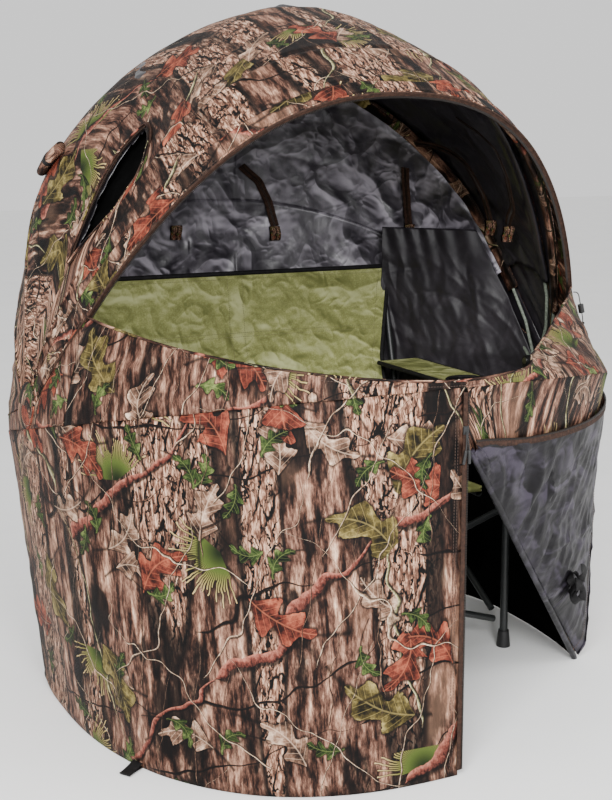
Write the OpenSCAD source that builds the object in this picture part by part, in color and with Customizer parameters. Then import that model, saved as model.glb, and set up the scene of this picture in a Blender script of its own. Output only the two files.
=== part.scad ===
// Chair blind: a one-person camouflage tent carried on a folding chair.
// Origin at the middle of its footprint on the ground; front towards -Y, +Z up, +X the sitter's left.

/* [Shell] */
// Half of the shell's width at the waist
shell_half_w = 672; // [640:1:700]
// Distance of the shell's middle line behind the origin
mid_y = 60; // [55:1:65]
// From the shell's middle line to the front wall
shell_front = 690; // [670:1:710]
// From the shell's middle line to the rear wall
shell_rear = 570; // [550:1:590]
// Height of the hood's peak
shell_top = 1530; // [1500:1:1560]
// Height at which the shell starts to narrow
shell_spring = 650; // [630:1:670]
// Squareness of the shell in plan
shell_power = 2.2; // [2.1:0.05:2.4]
// Thickness of the coated cloth with its lining
cloth_t = 1.6; // [1.2:0.1:2.5]

/* [Hem] */
// Half of the hem's width on the ground
hem_half_w = 605; // [590:1:620]
// From the shell's middle line to the hem at the front
hem_front = 691; // [680:1:700]
// From the shell's middle line to the hem at the rear
hem_rear = 416; // [400:1:440]
// Squareness of the hem in plan
hem_power = 2.5; // [2.2:0.1:2.8]

/* [Waist] */
// Height of the waist seam at the front
waist_front_z = 770; // [760:1:780]
// How far the waist seam drops for each millimetre towards the rear
waist_slope = 0.22; // [0.18:0.01:0.24]

/* [Hood] */
// Height of the pivot that all the bows turn on
hub_z = 680; // [675:1:690]
// Distance of that pivot behind the origin
hub_y = 0; // [-5:1:5]
// Lean of the rear bow, backwards from upright, in degrees
rear_bow_lean = 58; // [56:1:60]
// Lean of the top bow
top_bow_lean = 30; // [28:1:32]
// Lean of the second bow
second_bow_lean = -18; // [-19:1:-16]
// Lean of the rim bow
rim_bow_lean = -29; // [-30:1:-28]
// Diameter of a bow's glass fibre rod
bow_d = 8; // [7:0.5:9]
// Diameter of the pivot pin
pin_d = 8; // [8:0.5:9]
// Radial clearance of a bow's eye on the pin
pin_gap = 0.05; // [0.03:0.01:0.1]
// Height of the rim's two lower corners
rim_corner_z = 883; // [875:1:890]
// Place of those corners in front of the origin
rim_corner_y = -182; // [-190:1:-175]
// Height of the middle of the rim
rim_top_z = 1315; // [1305:1:1320]

/* [Door] */
// Height at which the folded door leaves the zip
door_top_z = 660; // [640:1:680]
// Where the fold meets the ground, across
door_foot_x = 568; // [560:1:572]
// Where the fold meets the ground, front to back
door_foot_y = -260; // [-270:1:-250]
// Gap that the folded door keeps from the wall
door_gap = 9; // [8:1:12]

/* [Chair] */
// Outer diameter of the leg and arm tubes
tube_d = 19; // [18:1:22]
// Outer diameter of the braces
brace_d = 16; // [14:1:16]
// Wall of the steel tubes
tube_wall = 1.2; // [1:0.1:1.5]
// Half of the distance between the left and right legs
leg_x = 462; // [455:1:470]
// Front legs, front to back
leg_front_y = -120; // [-125:1:-115]
// Rear legs, front to back
leg_rear_y = 330; // [325:1:335]
// Height of the arm tubes' middle
arm_z = 632; // [625:1:640]
// Height of the seat cloth
seat_z = 400; // [390:1:410]
// Half width of the backrest
back_half_w = 430; // [420:1:436]
// Height of the backrest's top edge
back_top_z = 890; // [880:1:900]
// Inner diameter of a cup holder
cup_d = 89; // [80:1:92]
// Depth of a cup holder
cup_depth = 120; // [100:1:140]

/* [Hidden] */
$fn = 48;

eye_step = 10;          // spacing of the bow eyes along the pin
eye_w = 8;              // width of one eye
eye_d = 20;             // outer diameter of one eye
eye_clear = 0.6;        // from an eye to the end of its rod
first_eye_x = 608;      // inner face of the innermost eye
hub_gap = 44;           // the hood's cloth starts this far from the pivot
patch_r = 41;           // radius of the round patch over the pivot
swell_share = 0.20;     // how much wider the hood's shoulders are than a plain shell
swell_y = [-120, 250];  // where the swell starts and is full, front to rear
swell_z = [700, 1350];  // the same from low to high
bow_inset = 15;          // from the cloth to the middle of a bow
seam_gap = 1.5;         // between neighbouring cloth pieces
slit_half = 4;          // half of the gap along the door's zip
crescent_low = 14;      // height of the front yoke at the middle
rear_edge_lean = 107;   // lower edge of the rear panel, seen from the pivot
rib = 300;              // radius within which a bow bends in to its eye
pad_t = 9;
sling_t = 3;
cup_x = 400;
cup_y = -30;
armrest_half_w = 52;
hood_top_margin = 0.997;
hoop_share = 0.985;      // the waist hoop is this much smaller than the seam

// ---------------------------------------------------------------- the shell's surface

function clamp01(a) = min(1, max(0, a));
function lerp(a, b, t) = a + (b - a)*t;
function sgn(a) = a < 0 ? -1 : 1;
function spow(a, p) = sgn(a)*pow(abs(a), p);
function rise(z) = clamp01((z - shell_spring)/(shell_top - shell_spring));

// Half width of the shell at a height, and its reach to the front and to the rear.
function wide(z) = shell_half_w*pow(1 - pow(rise(z), 1.4), 0.526);
function ahead(z) = shell_front*(1 - pow(rise(z), 4));
function behind(z) = shell_rear*pow(1 - pow(rise(z), 5), 0.4545)
    *(1 - 0.10*pow(clamp01((850 - z)/350), 2));
function reach(y, z) = y < mid_y ? ahead(z) : behind(z);

// The hood's shoulders swell behind the pivots, more towards the top.
function smooth(t) = t*t*(3 - 2*t);
function swell(y, z) = 1 + swell_share*smooth(clamp01((y - swell_y[0])/(swell_y[1] - swell_y[0])))
    *smooth(clamp01((z - swell_z[0])/(swell_z[1] - swell_z[0])));
// The shell's x on the sitter's left, at a place seen from the side.
function skin_x(y, z) =
    let (share = clamp01(abs(y - mid_y)/max(1, reach(y, z))))
    swell(y, z)*wide(z)*pow(1 - pow(share, shell_power), 1/shell_power);
function skin(y, z, side) = [side*skin_x(y, z), y, z];

// A place at an angle round the shell: 0 is the sitter's left and -90 the front.
function around(a, z) = [wide(z)*spow(cos(a), 2/shell_power),
    mid_y + (a % 360 < 0 || a % 360 > 180 ? ahead(z) : behind(z))*spow(sin(a), 2/shell_power), z];
function waist_z(y) = waist_front_z - waist_slope*(y + 630);
function waist_step(a, z, n) = n == 0 ? around(a, z) : waist_step(a, waist_z(around(a, z)[1]), n - 1);
function waist(a) = waist_step(a, 690, 8);
function hem(a) = [hem_half_w*spow(cos(a), 2/hem_power),
    mid_y + (sin(a) < 0 ? hem_front : hem_rear)*spow(sin(a), 2/hem_power), 0];

// A point at a radius from the pivot and a lean from upright.
function polar_y(lean, r) = hub_y + r*sin(lean);
function polar_z(lean, r) = hub_z + r*cos(lean);
function inside(lean, r) = abs(polar_y(lean, r) - mid_y) < reach(polar_y(lean, r), polar_z(lean, r))
    && polar_z(lean, r) < shell_top;
function ridge(lean, lo = 300, hi = 900, n = 16) = n == 0 ? lo
    : inside(lean, (lo + hi)/2) ? ridge(lean, (lo + hi)/2, hi, n - 1) : ridge(lean, lo, (lo + hi)/2, n - 1);
// s runs from -1 on the right over 0 at the ridge to 1 on the left.
function arch(lean, s) =
    let (r = lerp(hub_gap, ridge(lean)*(s == 0 ? 1 : hood_top_margin), sin(90*(1 - abs(s)))))
    skin(polar_y(lean, r), polar_z(lean, r), s == 0 ? 0 : sgn(s));

// ---------------------------------------------------------------- building blocks

function unit(v) = norm(v) == 0 ? [0, 0, 1] : v/norm(v);

// A closed skin of cloth on a grid of outer points, thickened inwards.
function grid_normal(g, i, j) =
    let (a = g[min(i + 1, len(g) - 1)][j] - g[max(i - 1, 0)][j],
         b = g[i][min(j + 1, len(g[0]) - 1)] - g[i][max(j - 1, 0)])
    unit(cross(a, b));

module cloth(g, t = cloth_t, open = []) {
    rows = len(g);
    cols = len(g[0]);
    count = rows*cols;
    outer = [for (i = [0:rows - 1]) for (j = [0:cols - 1]) g[i][j]];
    inner = [for (i = [0:rows - 1]) for (j = [0:cols - 1]) g[i][j] - t*grid_normal(g, i, j)];
    id = function (i, j) i*cols + j;
    kept = function (i, j) i >= 0 && j >= 0 && i < rows - 1 && j < cols - 1
        && len([for (c = open) if (c == [i, j]) 1]) == 0;
    faces = [for (i = [0:rows - 2]) for (j = [0:cols - 2]) if (kept(i, j))
        let (a = id(i, j), b = id(i, j + 1), c = id(i + 1, j + 1), d = id(i + 1, j))
        each concat(
            [[a, c, b], [a, d, c], [count + a, count + b, count + c], [count + a, count + c, count + d]],
            kept(i - 1, j) ? [] : [[a, b, count + b], [a, count + b, count + a]],
            kept(i + 1, j) ? [] : [[c, d, count + d], [c, count + d, count + c]],
            kept(i, j - 1) ? [] : [[d, a, count + a], [d, count + a, count + d]],
            kept(i, j + 1) ? [] : [[b, c, count + c], [b, count + c, count + b]])];
    polyhedron(concat(outer, inner), faces);
}

// A straight round tube between two points.
module tube(a, b, d, wall = tube_wall) {
    v = b - a;
    translate(a) rotate([0, acos(v[2]/norm(v)), atan2(v[1], v[0])]) difference() {
        cylinder(h = norm(v), d = d);
        translate([0, 0, -1]) cylinder(h = norm(v) + 2, d = d - 2*wall);
    }
}

// A round rod swept along points that lie in one plane with the given normal.
module rod(path, d, normal, closed = false, sides = 8) {
    n = len(path);
    at = function (i) path[closed ? (i + n) % n : min(n - 1, max(0, i))];
    ring = function (i) let (t = unit(at(i + 1) - at(i - 1)), m = unit(cross(normal, t)))
        [for (k = [0:sides - 1]) path[i] + d/2*(cos(360*k/sides)*m + sin(360*k/sides)*cross(t, m))];
    last = closed ? n - 1 : n - 2;
    walls = [for (i = [0:last]) for (k = [0:sides - 1])
        let (a = i*sides + k, b = i*sides + (k + 1) % sides, c = ((i + 1) % n)*sides + k,
             e = ((i + 1) % n)*sides + (k + 1) % sides)
        each [[a, c, e], [a, e, b]]];
    caps = closed ? [] : [[for (k = [0:sides - 1]) k], [for (k = [sides - 1:-1:0]) (n - 1)*sides + k]];
    polyhedron([for (i = [0:n - 1]) each ring(i)], concat(walls, caps));
}

module mirrored(side) { if (side > 0) children(); else mirror([1, 0, 0]) children(); }

// ---------------------------------------------------------------- chair

module leg(side, y) color("dimgray")
    tube([side*leg_x, y, 6], [side*leg_x, y, arm_z - tube_d/2 - 0.4], tube_d);
module arm_tube(side) color("dimgray")
    tube([side*leg_x, leg_front_y - 20, arm_z], [side*leg_x, leg_rear_y + 20, arm_z], tube_d);

module leg_front_left() leg(1, leg_front_y);
module leg_front_right() leg(-1, leg_front_y);
module leg_rear_left() leg(1, leg_rear_y);
module leg_rear_right() leg(-1, leg_rear_y);
module arm_tube_left() arm_tube(1);
module arm_tube_right() arm_tube(-1);

rail_x = leg_x - 60;
module seat_rail(side) color("dimgray")
    tube([side*rail_x, leg_front_y + 30, seat_z - 14], [side*rail_x, leg_rear_y - 45, seat_z - 14], tube_d);
module seat_rail_left() seat_rail(1);
module seat_rail_right() seat_rail(-1);

upright_x = back_half_w - 12;
back_foot = [upright_x, leg_rear_y - 26, 430];
back_head = [upright_x, leg_rear_y + 82, back_top_z - 26];
module back_upright(side) color("dimgray") mirrored(side) tube(back_foot, back_head, brace_d);
module back_upright_left() back_upright(1);
module back_upright_right() back_upright(-1);
module back_top_tube() color("dimgray")
    tube([-upright_x - 8, back_head[1] + 2, back_top_z - 26 + brace_d/2 + 1.2],
         [upright_x + 8, back_head[1] + 2, back_top_z - 26 + brace_d/2 + 1.2], brace_d);

// Two crossed braces between a pair of legs, one a tube's width behind the other.
module cross_brace(y, low, high, side) color("dimgray")
    tube([-side*(leg_x - 24), y, low], [side*(leg_x - 24), y, high], brace_d);
module front_brace_rising() cross_brace(leg_front_y - brace_d/2 - 1, 70, 350, 1);
module front_brace_falling() cross_brace(leg_front_y + brace_d/2 + 1, 70, 350, -1);
module rear_brace_rising() cross_brace(leg_rear_y - brace_d/2 - 1, 70, 350, 1);
module rear_brace_falling() cross_brace(leg_rear_y + brace_d/2 + 1, 70, 350, -1);
module side_brace(side) color("dimgray")
    tube([side*(leg_x - 20), leg_front_y + 24, 90], [side*(leg_x - 20), leg_rear_y - 24, 330], brace_d);
module side_brace_left() side_brace(1);
module side_brace_right() side_brace(-1);

module foot_caps() color("black")
    for (side = [-1, 1], y = [leg_front_y, leg_rear_y]) translate([side*leg_x, y, 0]) difference() {
        cylinder(h = 40, d1 = 34, d2 = 26);
        translate([0, 0, 6]) cylinder(h = 40, d = tube_d + 0.1);
    }

// Rivets tie the tubes together where they pass each other.
rivet_d = 5;
module rivet(p, along, length) translate(p) rotate(along)
    cylinder(h = length, d = rivet_d, center = true, $fn = 24);
module frame_rivets() color("silver") {
    for (y = [leg_front_y, leg_rear_y]) rivet([0, y, 210], [90, 0, 0], 2*brace_d + 8);
    for (side = [-1, 1], y = [leg_front_y, leg_rear_y]) rivet([side*leg_x, y, arm_z - 8], [0, 0, 0], 20);
}

// The seat and back cloths are loose slings between the tubes.
module seat_sling() color("darkolivegreen")
    translate([-rail_x - 6, leg_front_y + 26, seat_z - 3.5])
        cube([2*rail_x + 12, leg_rear_y - leg_front_y - 90, sling_t]);
back_low_z = 556;        // lower edge of the backrest
arm_clear = 52;          // how much the backrest narrows beside the armrests
back_ahead = 14;         // from the uprights' middle to the cloth
function upright_y(z) = lerp(back_foot[1], back_head[1], (z - back_foot[2])/(back_head[2] - back_foot[2]));
module back_sling() color("darkolivegreen")
    cloth([for (i = [0:8]) [for (j = [0:4])
        let (z = lerp(back_low_z, back_top_z, j/4), w = z < 660 ? back_half_w - arm_clear : back_half_w)
        [lerp(-w, w, i/8), upright_y(z) - back_ahead, z]]], sling_t);

module armrest(side) color("darkolivegreen") mirrored(side) difference() {
    translate([cup_x - armrest_half_w, leg_front_y - 22, arm_z + tube_d/2 + 0.6])
        cube([2*armrest_half_w + 14, leg_rear_y - leg_front_y + 2, pad_t]);
    translate([cup_x, cup_y, arm_z]) cylinder(h = 60, d = cup_d + 8);
}
module armrest_left() armrest(1);
module armrest_right() armrest(-1);

module cup_holder(side) color("black") translate([side*cup_x, cup_y, arm_z + tube_d/2 + pad_t - cup_depth])
    difference() {
        cylinder(h = cup_depth + 1, d1 = cup_d - 6, d2 = cup_d + 5);
        translate([0, 0, 3]) cylinder(h = cup_depth, d1 = cup_d - 10, d2 = cup_d);
    }
module cup_holder_left() cup_holder(1);
module cup_holder_right() cup_holder(-1);

// ---------------------------------------------------------------- hood frame

// A standoff from the arm tube out to the pivot, with a lug for the pin and a hook for the waist hoop.
hub_out = first_eye_x - 2;
module hub_bracket(side) color("black") mirrored(side) difference() {
    union() {
        translate([leg_x + tube_d/2 + 0.4, hub_y - 14, arm_z - 9])
            cube([hub_out - leg_x - tube_d/2 - 0.4, 28, 14]);
        translate([hub_out - 12, hub_y - 14, arm_z - 9]) cube([12, 28, hub_z - arm_z + 9]);
        translate([hub_out - 12, hub_y, hub_z]) rotate([0, 90, 0]) cylinder(h = 12, d = 28);
    }
    translate([hub_out - 20, hub_y, hub_z]) rotate([0, 90, 0]) cylinder(h = 40, d = pin_d + 0.1);
}
module hub_bracket_left() hub_bracket(1);
module hub_bracket_right() hub_bracket(-1);

// The pin passes the bracket's lug and carries the four eyes, with a head at each end.
pin_end = first_eye_x + 4*eye_step + 1;
module hub_pins() color("silver") for (side = [-1, 1]) mirrored(side) translate([0, hub_y, hub_z])
    rotate([0, 90, 0]) {
        translate([0, 0, hub_out - 13]) cylinder(h = pin_end - hub_out + 13, d = pin_d);
        translate([0, 0, pin_end]) cylinder(h = 3, d = 16);
        translate([0, 0, hub_out - 16]) cylinder(h = 3, d = 16);
    }

function eye_x(layer) = first_eye_x + layer*eye_step + eye_w/2;
// The middle of a bow's rod: the cloth's arch drawn in by one share all round, then bent to its own eye.
function bow_point(lean, layer, s) =
    let (share = 1 - bow_inset/shell_spring,
         r = lerp(eye_d/2 + eye_clear, ridge(lean)*share, sin(90*(1 - abs(s)))),
         x = skin_x(polar_y(lean, r/share), polar_z(lean, r/share))*share,
         near = pow(clamp01(1 - (r - eye_d/2)/rib), 2))
    [(s == 0 ? 0 : sgn(s))*lerp(x, eye_x(layer), near), polar_y(lean, r), polar_z(lean, r)];
module bow(lean, layer) color("darkslategray")
    rod([for (i = [-14:14]) bow_point(lean, layer, i/14)], bow_d, [0, cos(lean), -sin(lean)]);
module bow_eyes(lean, layer) color("gray") for (side = [-1, 1]) mirrored(side)
    translate([first_eye_x + layer*eye_step, hub_y, hub_z]) rotate([0, 90, 0]) difference() {
        cylinder(h = eye_w, d = eye_d);
        translate([0, 0, -1]) cylinder(h = eye_w + 2, d = pin_d + 2*pin_gap);
    }
module rear_bow() bow(rear_bow_lean, 0);
module rear_bow_eyes() bow_eyes(rear_bow_lean, 0);
module top_bow() bow(top_bow_lean, 1);
module top_bow_eyes() bow_eyes(top_bow_lean, 1);
module second_bow() bow(second_bow_lean, 2);
module second_bow_eyes() bow_eyes(second_bow_lean, 2);
module rim_bow() bow(rim_bow_lean, 3);
module rim_bow_eyes() bow_eyes(rim_bow_lean, 3);

// The hoop that spreads the waist lies just inside the seam.
module waist_hoop() color("darkslategray")
    rod([for (i = [0:47]) let (p = waist(7.5*i)) [p[0]*hoop_share, mid_y + (p[1] - mid_y)*hoop_share, p[2]]],
        bow_d, unit([0, waist_slope, 1]), closed = true);

// ---------------------------------------------------------------- skirt

function wall(a, v) = lerp(hem(a), waist(a), v);
module skirt(from, to, cols, rows = 3) color("rosybrown")
    cloth([for (i = [0:cols]) [for (j = [0:rows]) wall(lerp(from, to, i/cols), lerp(0, 0.995, j/rows))]]);

// The right half of the front ends at the zip, a little short of the middle.
module skirt_right() color("rosybrown")
    cloth([for (i = [0:14]) [for (j = [0:3])
        let (p = wall(lerp(-200, -90, i/14), lerp(0, 0.995, j/3))) i == 14 ? [-slit_half, p[1], p[2]] : p]]);
module skirt_rear() skirt(20.5, 159.5, 14);

// On the left the wall ends at the fold that runs from the zip down to the ground.
door_top = [slit_half, mid_y - hem_front, door_top_z];
door_foot = [door_foot_x, door_foot_y, 0];
fold_end = -22.4;
function fold(u) = lerp(door_top, door_foot, u*(1.14 - 0.14*u));
function left_foot(a) = a < fold_end ? fold((a + 90)/(fold_end + 90))
    : lerp(door_foot, hem(a), clamp01((a - fold_end)/4));
function left_head(a) = let (p = waist(a)) a == -90 ? [slit_half, p[1], p[2]] : p;
function left_wall(a, v) = lerp(left_foot(a), left_head(a), v);
left_angles = concat([for (i = [0:10]) lerp(-90, fold_end, i/10)], [for (i = [1:5]) lerp(fold_end, 20, i/5)]);
module skirt_left() color("rosybrown")
    cloth([for (a = left_angles) [for (j = [0:3]) left_wall(a, lerp(0, 0.995, j/3))]]);

// The door: the corner of the wall turned out over the fold, lying against the wall.
function flap_top_v(u) = let (f = fold(u), h = left_head(lerp(-90, fold_end, u)))
    clamp01((lerp(door_top_z, 668, u) - 14*sin(180*u) - f[2])/(h[2] - f[2]));
flap_out = -unit([-(door_foot_y - door_top[1]), door_foot_x - door_top[0], 0]);
function flap_point(u, w) =
    left_wall(lerp(-90, fold_end, u), w*flap_top_v(u)) + flap_out*door_gap*min(1, 0.35 + 3*w);
module door_flap() color("slategray")
    cloth([for (i = [0:12]) [for (j = [0:4]) flap_point(lerp(0.02, 1, i/12), lerp(0.015, 1, j/4))]]);

// The webbing that ties the folded door back hangs bunched near the fold.
module door_tether() color("black")
    cloth([for (i = [0:4]) [for (j = [0:1])
        flap_point(0.70 + 0.06*j, 0.08 + 0.06*i) + flap_out*(3.5 + 4*sin(45*i))]], 1.6);

// ---------------------------------------------------------------- yokes and hood cloth

// Upper edge of the front yoke: low at the middle, high at the rim's corners.
corner_a = 18.5;
function yoke_height(a) =
    let (share = abs(a + 90)/(90 - corner_a), corner = rim_corner_z - waist_z(rim_corner_y))
    crescent_low + (corner - crescent_low)*pow(share, yoke_power);
yoke_power = 1.55;       // how late the front yoke's edge climbs to its corners
module front_yoke() color("tan")
    cloth([for (i = [-10:10]) [for (j = [0:2])
        let (a = -90 + i/10*(90 - corner_a), low = waist(a)[2])
        around(a, lerp(low + seam_gap, low + yoke_height(a), j/2))]]);

// Upper edge of a side yoke: up to the rim's corner, round the hub patch and down to the rear.
function yoke_edge(y) = y < hub_y - hub_gap
    ? lerp(rim_corner_z, hub_z, (y - rim_corner_y)/(hub_y - hub_gap - rim_corner_y))
    : y < hub_y + hub_gap*sin(rear_edge_lean) ? hub_z - sqrt(max(0, hub_gap*hub_gap - pow(y - hub_y, 2)))
    : hub_z + (y - hub_y)/tan(rear_edge_lean);
yoke_y = [rim_corner_y + 3, -150, -120, -90, -62, -50, -30, 0, 30, 58, 90, 150, 230, 310, 400, 480];
module side_yoke(side) color("tan")
    cloth([for (y = side > 0 ? yoke_y : [for (k = [len(yoke_y) - 1:-1:0]) yoke_y[k]]) [for (j = [0:1])
        skin(y, lerp(waist_z(y) + seam_gap, yoke_edge(y) - seam_gap, j), side)]]);
module side_yoke_left() side_yoke(1);
module side_yoke_right() side_yoke(-1);

module hub_patch(side) color("tan") translate([side*(skin_x(hub_y, hub_z) - 1), hub_y, hub_z])
    rotate([0, side*90, 0]) translate([0, 0, -cloth_t]) cylinder(h = cloth_t, r = patch_r);
module hub_patch_left() hub_patch(1);
module hub_patch_right() hub_patch(-1);

// One gore of the hood, between two leans.
function gore(from, to, rows, cols) = [for (i = [0:rows]) [for (j = [0:cols])
    let (lean = lerp(from, to, i/rows)) arch(lean, lerp(-1, 1, j/cols))]];
edge = 0.15;
module hood_rear_panel() color("tan") cloth(gore(rear_edge_lean, rear_bow_lean + edge, 6, 24));
module hood_back_panel() color("tan") cloth(gore(rear_bow_lean - edge, top_bow_lean + edge, 4, 24));
// The side window is a slot that follows the second bow.
module hood_top_panel() color("tan")
    cloth(gore(top_bow_lean - edge, second_bow_lean + edge, 8, 24),
        open = [for (i = [4:6]) for (j = [3:5]) [i, j]]);
module hood_front_panel() color("tan") cloth(gore(second_bow_lean - edge, rim_bow_lean + edge, 3, 24));

// The visor reaches from the rim bow to the free rim.
rim_top_y = mid_y - ahead(rim_top_z);
function rim_point(s) =
    let (k = sin(90*(1 - abs(s))), z = lerp(rim_corner_z, rim_top_z, k), y = lerp(rim_corner_y, rim_top_y, k))
    s == 0 ? [0, y, z] : skin(y, z, sgn(s));
// Below the corners the visor's edge follows the side yoke back to the hub.
function visor_point(s, w) = let (h = 0.78, t = clamp01(abs(s)/h), b = clamp01((abs(s) - h)/(1 - h)),
        low = [0, lerp(rim_corner_y, hub_y - hub_gap, b), lerp(rim_corner_z, hub_z, b) + 2],
        edge_point = abs(s) <= h ? rim_point(sgn(s)*t) : low,
        bow_s = arch(rim_bow_lean - edge, sgn(s)*pow(abs(s), 0.93)),
        y = lerp(bow_s[1], edge_point[1], w), z = lerp(bow_s[2], edge_point[2], w))
    s == 0 ? [0, mid_y - ahead(z), z] : skin(y, z, sgn(s));
module hood_visor() color("saddlebrown")
    cloth([for (i = [0:2]) [for (j = [-12:12]) visor_point(j/12, i/2)]]);

// A rolled-down cover hangs inside the window on the right.
module window_cover_right() color("dimgray")
    cloth([for (i = [0:2]) [for (j = [0:4])
        let (p = arch(lerp(-1, -16, i/2), lerp(-0.8, -0.45, j/4))) [p[0] + 12, p[1], p[2] - 4]]], 1.2);

// ---------------------------------------------------------------- zip, cord and stakes

zip_y = mid_y - hem_front;
module door_zip_tape() color("saddlebrown")
    translate([-slit_half - 12, zip_y - 2.6, 12]) cube([12, 2, waist_front_z - 24]);
module zip_slider() color("silver") {
    translate([-9, zip_y - 6.5, 682]) cube([12, 3.4, 16]);
    translate([-5, zip_y - 8.6, 648]) cube([4, 1.8, 44]);
}

cord_start = [skin_x(rim_corner_y, rim_corner_z - 12) + 9, rim_corner_y, rim_corner_z - 12];
cord_points = [[-6, 0, 0], [0, 0, 0], [5, 0, -2], [9, 0, -6], [11, 0, -12], [13, 0, -20], [15, 0, -28],
    [17, 0, -36], [19, 0, -44], [21, 0, -52], [23, 0, -60], [24, 0, -68], [25, 0, -76]];
module draw_cord() color("black") rod([for (p = cord_points) cord_start + p], 2.5, [0, 1, 0]);
module cord_lock() color("black") difference() {
    translate(cord_start + [18, 0, -40]) rotate([0, -14, 0]) cylinder(h = 20, d = 14, center = true);
    translate(cord_start + [18, 0, -40]) rotate([0, -14, 0]) cylinder(h = 24, d = 4.5, center = true);
}

// Folded webbing loops at the hem take the ground stakes, each with a grommet.
stake_angles = [-152, -16, 35, 145];
loop_len = 44;
loop_w = 25;
module stake_place(a) let (p = hem(a)) translate([p[0], p[1], 1]) rotate([0, 0, atan2(p[1] - mid_y, p[0])])
    children();
module stake_loops() color("black") for (a = stake_angles) stake_place(a) difference() {
    translate([2, -loop_w/2, 0]) cube([loop_len, loop_w, 3]);
    translate([loop_len - 12, 0, -1]) cylinder(h = 6, d = 14);
}
module stake_grommets() color("silver") for (a = stake_angles) stake_place(a)
    translate([loop_len - 12, 0, -0.5]) difference() {
        cylinder(h = 4, d = 13.8);
        translate([0, 0, -1]) cylinder(h = 6, d = 9);
    }

leg_front_left();
leg_front_right();
leg_rear_left();
leg_rear_right();
arm_tube_left();
arm_tube_right();
seat_rail_left();
seat_rail_right();
back_upright_left();
back_upright_right();
back_top_tube();
front_brace_rising();
front_brace_falling();
rear_brace_rising();
rear_brace_falling();
side_brace_left();
side_brace_right();
foot_caps();
frame_rivets();
seat_sling();
back_sling();
armrest_left();
armrest_right();
cup_holder_left();
cup_holder_right();
hub_bracket_left();
hub_bracket_right();
hub_pins();
rear_bow();
rear_bow_eyes();
top_bow();
top_bow_eyes();
second_bow();
second_bow_eyes();
rim_bow();
rim_bow_eyes();
waist_hoop();
skirt_right();
skirt_left();
skirt_rear();
front_yoke();
side_yoke_left();
side_yoke_right();
hub_patch_left();
hub_patch_right();
hood_rear_panel();
hood_back_panel();
hood_top_panel();
hood_front_panel();
hood_visor();
window_cover_right();
door_flap();
door_tether();
door_zip_tape();
zip_slider();
draw_cord();
cord_lock();
stake_loops();
stake_grommets();
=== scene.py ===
"""The looks of a chair blind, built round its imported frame: shell, lining, chair cloths and fittings."""
import logging
import math
from dataclasses import dataclass
from enum import Enum
from typing import Any, Optional, Sequence

import bmesh
import bpy
import numpy as np
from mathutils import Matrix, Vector

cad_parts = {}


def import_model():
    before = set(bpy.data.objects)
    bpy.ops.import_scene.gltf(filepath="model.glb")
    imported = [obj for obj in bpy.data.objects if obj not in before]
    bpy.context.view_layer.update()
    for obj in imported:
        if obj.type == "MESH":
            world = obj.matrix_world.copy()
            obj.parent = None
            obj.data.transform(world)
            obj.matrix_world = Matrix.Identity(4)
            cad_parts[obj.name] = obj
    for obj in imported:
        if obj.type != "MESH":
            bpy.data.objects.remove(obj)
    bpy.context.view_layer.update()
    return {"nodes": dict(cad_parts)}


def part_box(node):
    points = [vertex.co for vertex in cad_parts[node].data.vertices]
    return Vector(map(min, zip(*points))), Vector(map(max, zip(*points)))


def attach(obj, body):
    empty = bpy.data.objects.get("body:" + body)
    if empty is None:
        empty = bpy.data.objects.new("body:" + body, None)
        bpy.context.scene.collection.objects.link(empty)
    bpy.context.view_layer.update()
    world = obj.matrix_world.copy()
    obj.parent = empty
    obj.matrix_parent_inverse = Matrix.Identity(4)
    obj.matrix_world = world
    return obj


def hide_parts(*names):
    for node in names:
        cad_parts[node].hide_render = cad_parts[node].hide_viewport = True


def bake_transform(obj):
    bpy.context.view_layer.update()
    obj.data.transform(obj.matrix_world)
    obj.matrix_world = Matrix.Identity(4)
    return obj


Array = np.ndarray
Piece = bpy.types.Object
Tree = bpy.types.NodeTree

LOG = logging.getLogger("chair_blind")
MM = 0.001
CLOTH_T = 1.6 * MM


class Hold(Enum):
    STRETCHED = "stretched"
    HUNG = "hung"
    FOLDED = "folded"
    GATHERED = "gathered"


class Body(Enum):
    """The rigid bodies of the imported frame."""

    ROOT = "root"
    REAR_BOW = "rear_bow_body"
    TOP_BOW = "top_bow_body"
    SECOND_BOW = "second_bow_body"
    RIM_BOW = "rim_bow_body"
    DOOR = "door"
    SLIDER = "slider"
    LOCK = "lock"


# ------------------------------------------------------------------ colour and nodes


def linear(hex_colour: str) -> tuple[float, float, float, float]:
    """Turns an sRGB hex colour to linear.

    Args:
        hex_colour: The colour as "#rrggbb".

    Returns:
        Linear red, green, blue and an alpha of 1.
    """
    values = [int(hex_colour[i : i + 2], 16) / 255 for i in (1, 3, 5)]
    return (*[v / 12.92 if v <= 0.04045 else ((v + 0.055) / 1.055) ** 2.4 for v in values], 1.0)


# The setting that a node's kind may carry after a colon.
CHOICES = {
    "Math": "operation", "VectorMath": "operation", "Mix": "data_type", "MapRange": "interpolation_type",
    "TexNoise": "noise_dimensions", "TexVoronoi": "voronoi_dimensions", "TexWhiteNoise": "noise_dimensions",
    "VectorRotate": "rotation_type",
}


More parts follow.
